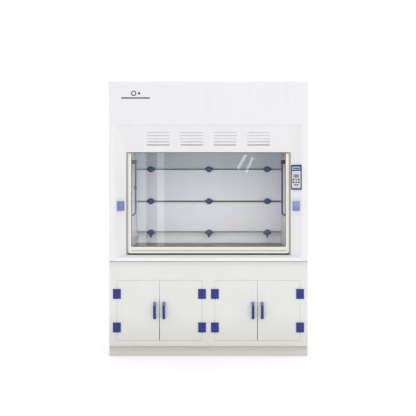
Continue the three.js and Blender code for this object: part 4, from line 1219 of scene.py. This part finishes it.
FLOOR_SPAN, FLOOR_GLOW = 40, 0.21
SKY_LOW, SKY_HIGH, SKY_BEHIND = 0.67, 0.88, 1.02
WINDOW_Y = -6.5
WINDOWS = (               # name, x, z, size and power of the pale strips that the glass mirrors
    ("window_wide", -1.86, 1.30, (0.74, 1.7), 7.4), ("window_strip_1", -1.40, 1.20, (0.16, 1.9), 2.2),
    ("window_strip_2", -1.03, 1.20, (0.15, 1.9), 1.9),
)
GLINTS = (("lamp_glint_1", 0.62, 1.96, 60), ("lamp_glint_2", 0.78, 1.90, 66))     # name, x, z and lean
GLINT_SIZE, GLINT_POWER = (0.34, 0.06), 0.30


def make_floor():
    shader = Shader("studio_floor")
    colour = srgb(250, 250, 250)
    tone = shader.ranged(shader.noise(0.8), 0.3, 0.7, 0, 1)
    shader.colour(shader.mixed(tone, scaled(colour, 0.98), colour))
    shader.set(Roughness=0.95, Specular_IOR_Level=0.1, Emission_Color=(1, 1, 1, 1), Emission_Strength=FLOOR_GLOW)
    mesh = bpy.data.meshes.new("floor")
    corners = [(x * FLOOR_SPAN, y * FLOOR_SPAN, 0) for x, y in ((-1, -1), (1, -1), (1, 1), (-1, 1))]
    mesh.from_pydata(corners, [], [(0, 1, 2, 3)])
    mesh.materials.append(shader.material)
    in_scene("floor", mesh)


def soft_light(name, place, target, size, power, colour=(1, 1, 1), shows=True):
    """An area light that the camera doesn't see; shows says whether reflections do."""
    light = bpy.data.lights.new(name, "AREA")
    light.shape = "RECTANGLE"
    light.size, light.size_y = size
    light.energy = power
    light.color = colour
    holder = in_scene(name, light)
    holder.location = place
    holder.rotation_euler = (Vector(target) - Vector(place)).to_track_quat("-Z", "Y").to_euler()
    holder.visible_camera = False
    holder.visible_glossy = shows
    holder.visible_transmission = shows
    return holder


def make_world():
    """White behind the object; in front, dimmer near the horizon than overhead, as under a lit ceiling."""
    world = bpy.data.worlds.new("studio")
    world.use_nodes = True
    nodes = Nodes(world.node_tree)
    high = nodes.along("Z", "ShaderNodeTexCoord", "Generated")
    back = nodes.along("Y", "ShaderNodeTexCoord", "Generated")
    front_light = nodes.ranged(high, 0.20, 0.30, SKY_LOW, SKY_HIGH, ease="LINEAR")
    behind = nodes.ranged(back, 0.11, 0.19, 0, 1, ease="LINEAR")
    blend = nodes.node("ShaderNodeMix")
    for key, value in ((0, behind), (2, front_light), (3, SKY_BEHIND)):
        nodes.link(value, blend.inputs[key])
    background = world.node_tree.nodes["Background"]
    background.inputs["Color"].default_value = (1, 1, 1, 1)
    nodes.link(blend.outputs[0], background.inputs["Strength"])
    bpy.context.scene.world = world


def make_lights():
    soft_light("top_front_key", (0.9, -2.6, 3.6), (0.2, 0, 1.9), (2.2, 1.2), 5.0)
    soft_light("right_front", (3.4, -3.0, 1.9), (0.3, -0.3, 1.1), (1.5, 2.2), 3.6, shows=False)
    soft_light("chamber_fill", (0, SASH_HIGH.y + 0.05, 1.17), (0, 1, 1.08), (1.25, 0.6), 3.3, shows=False)
    for name, x, z, size, power in WINDOWS:
        strip = soft_light(name, (x, WINDOW_Y, z), (x, 0, z), size, power, colour=(0.86, 0.95, 1))
        strip.visible_diffuse = False
    for name, x, z, lean in GLINTS:
        glint = soft_light(name, (x, WINDOW_Y, z), (x, 0, z), GLINT_SIZE, GLINT_POWER)
        glint.visible_diffuse = False
        glint.rotation_euler.rotate_axis("Z", math.radians(lean))


bpy.context.scene.view_settings.view_transform = "Standard"
make_floor()
make_world()
make_lights()
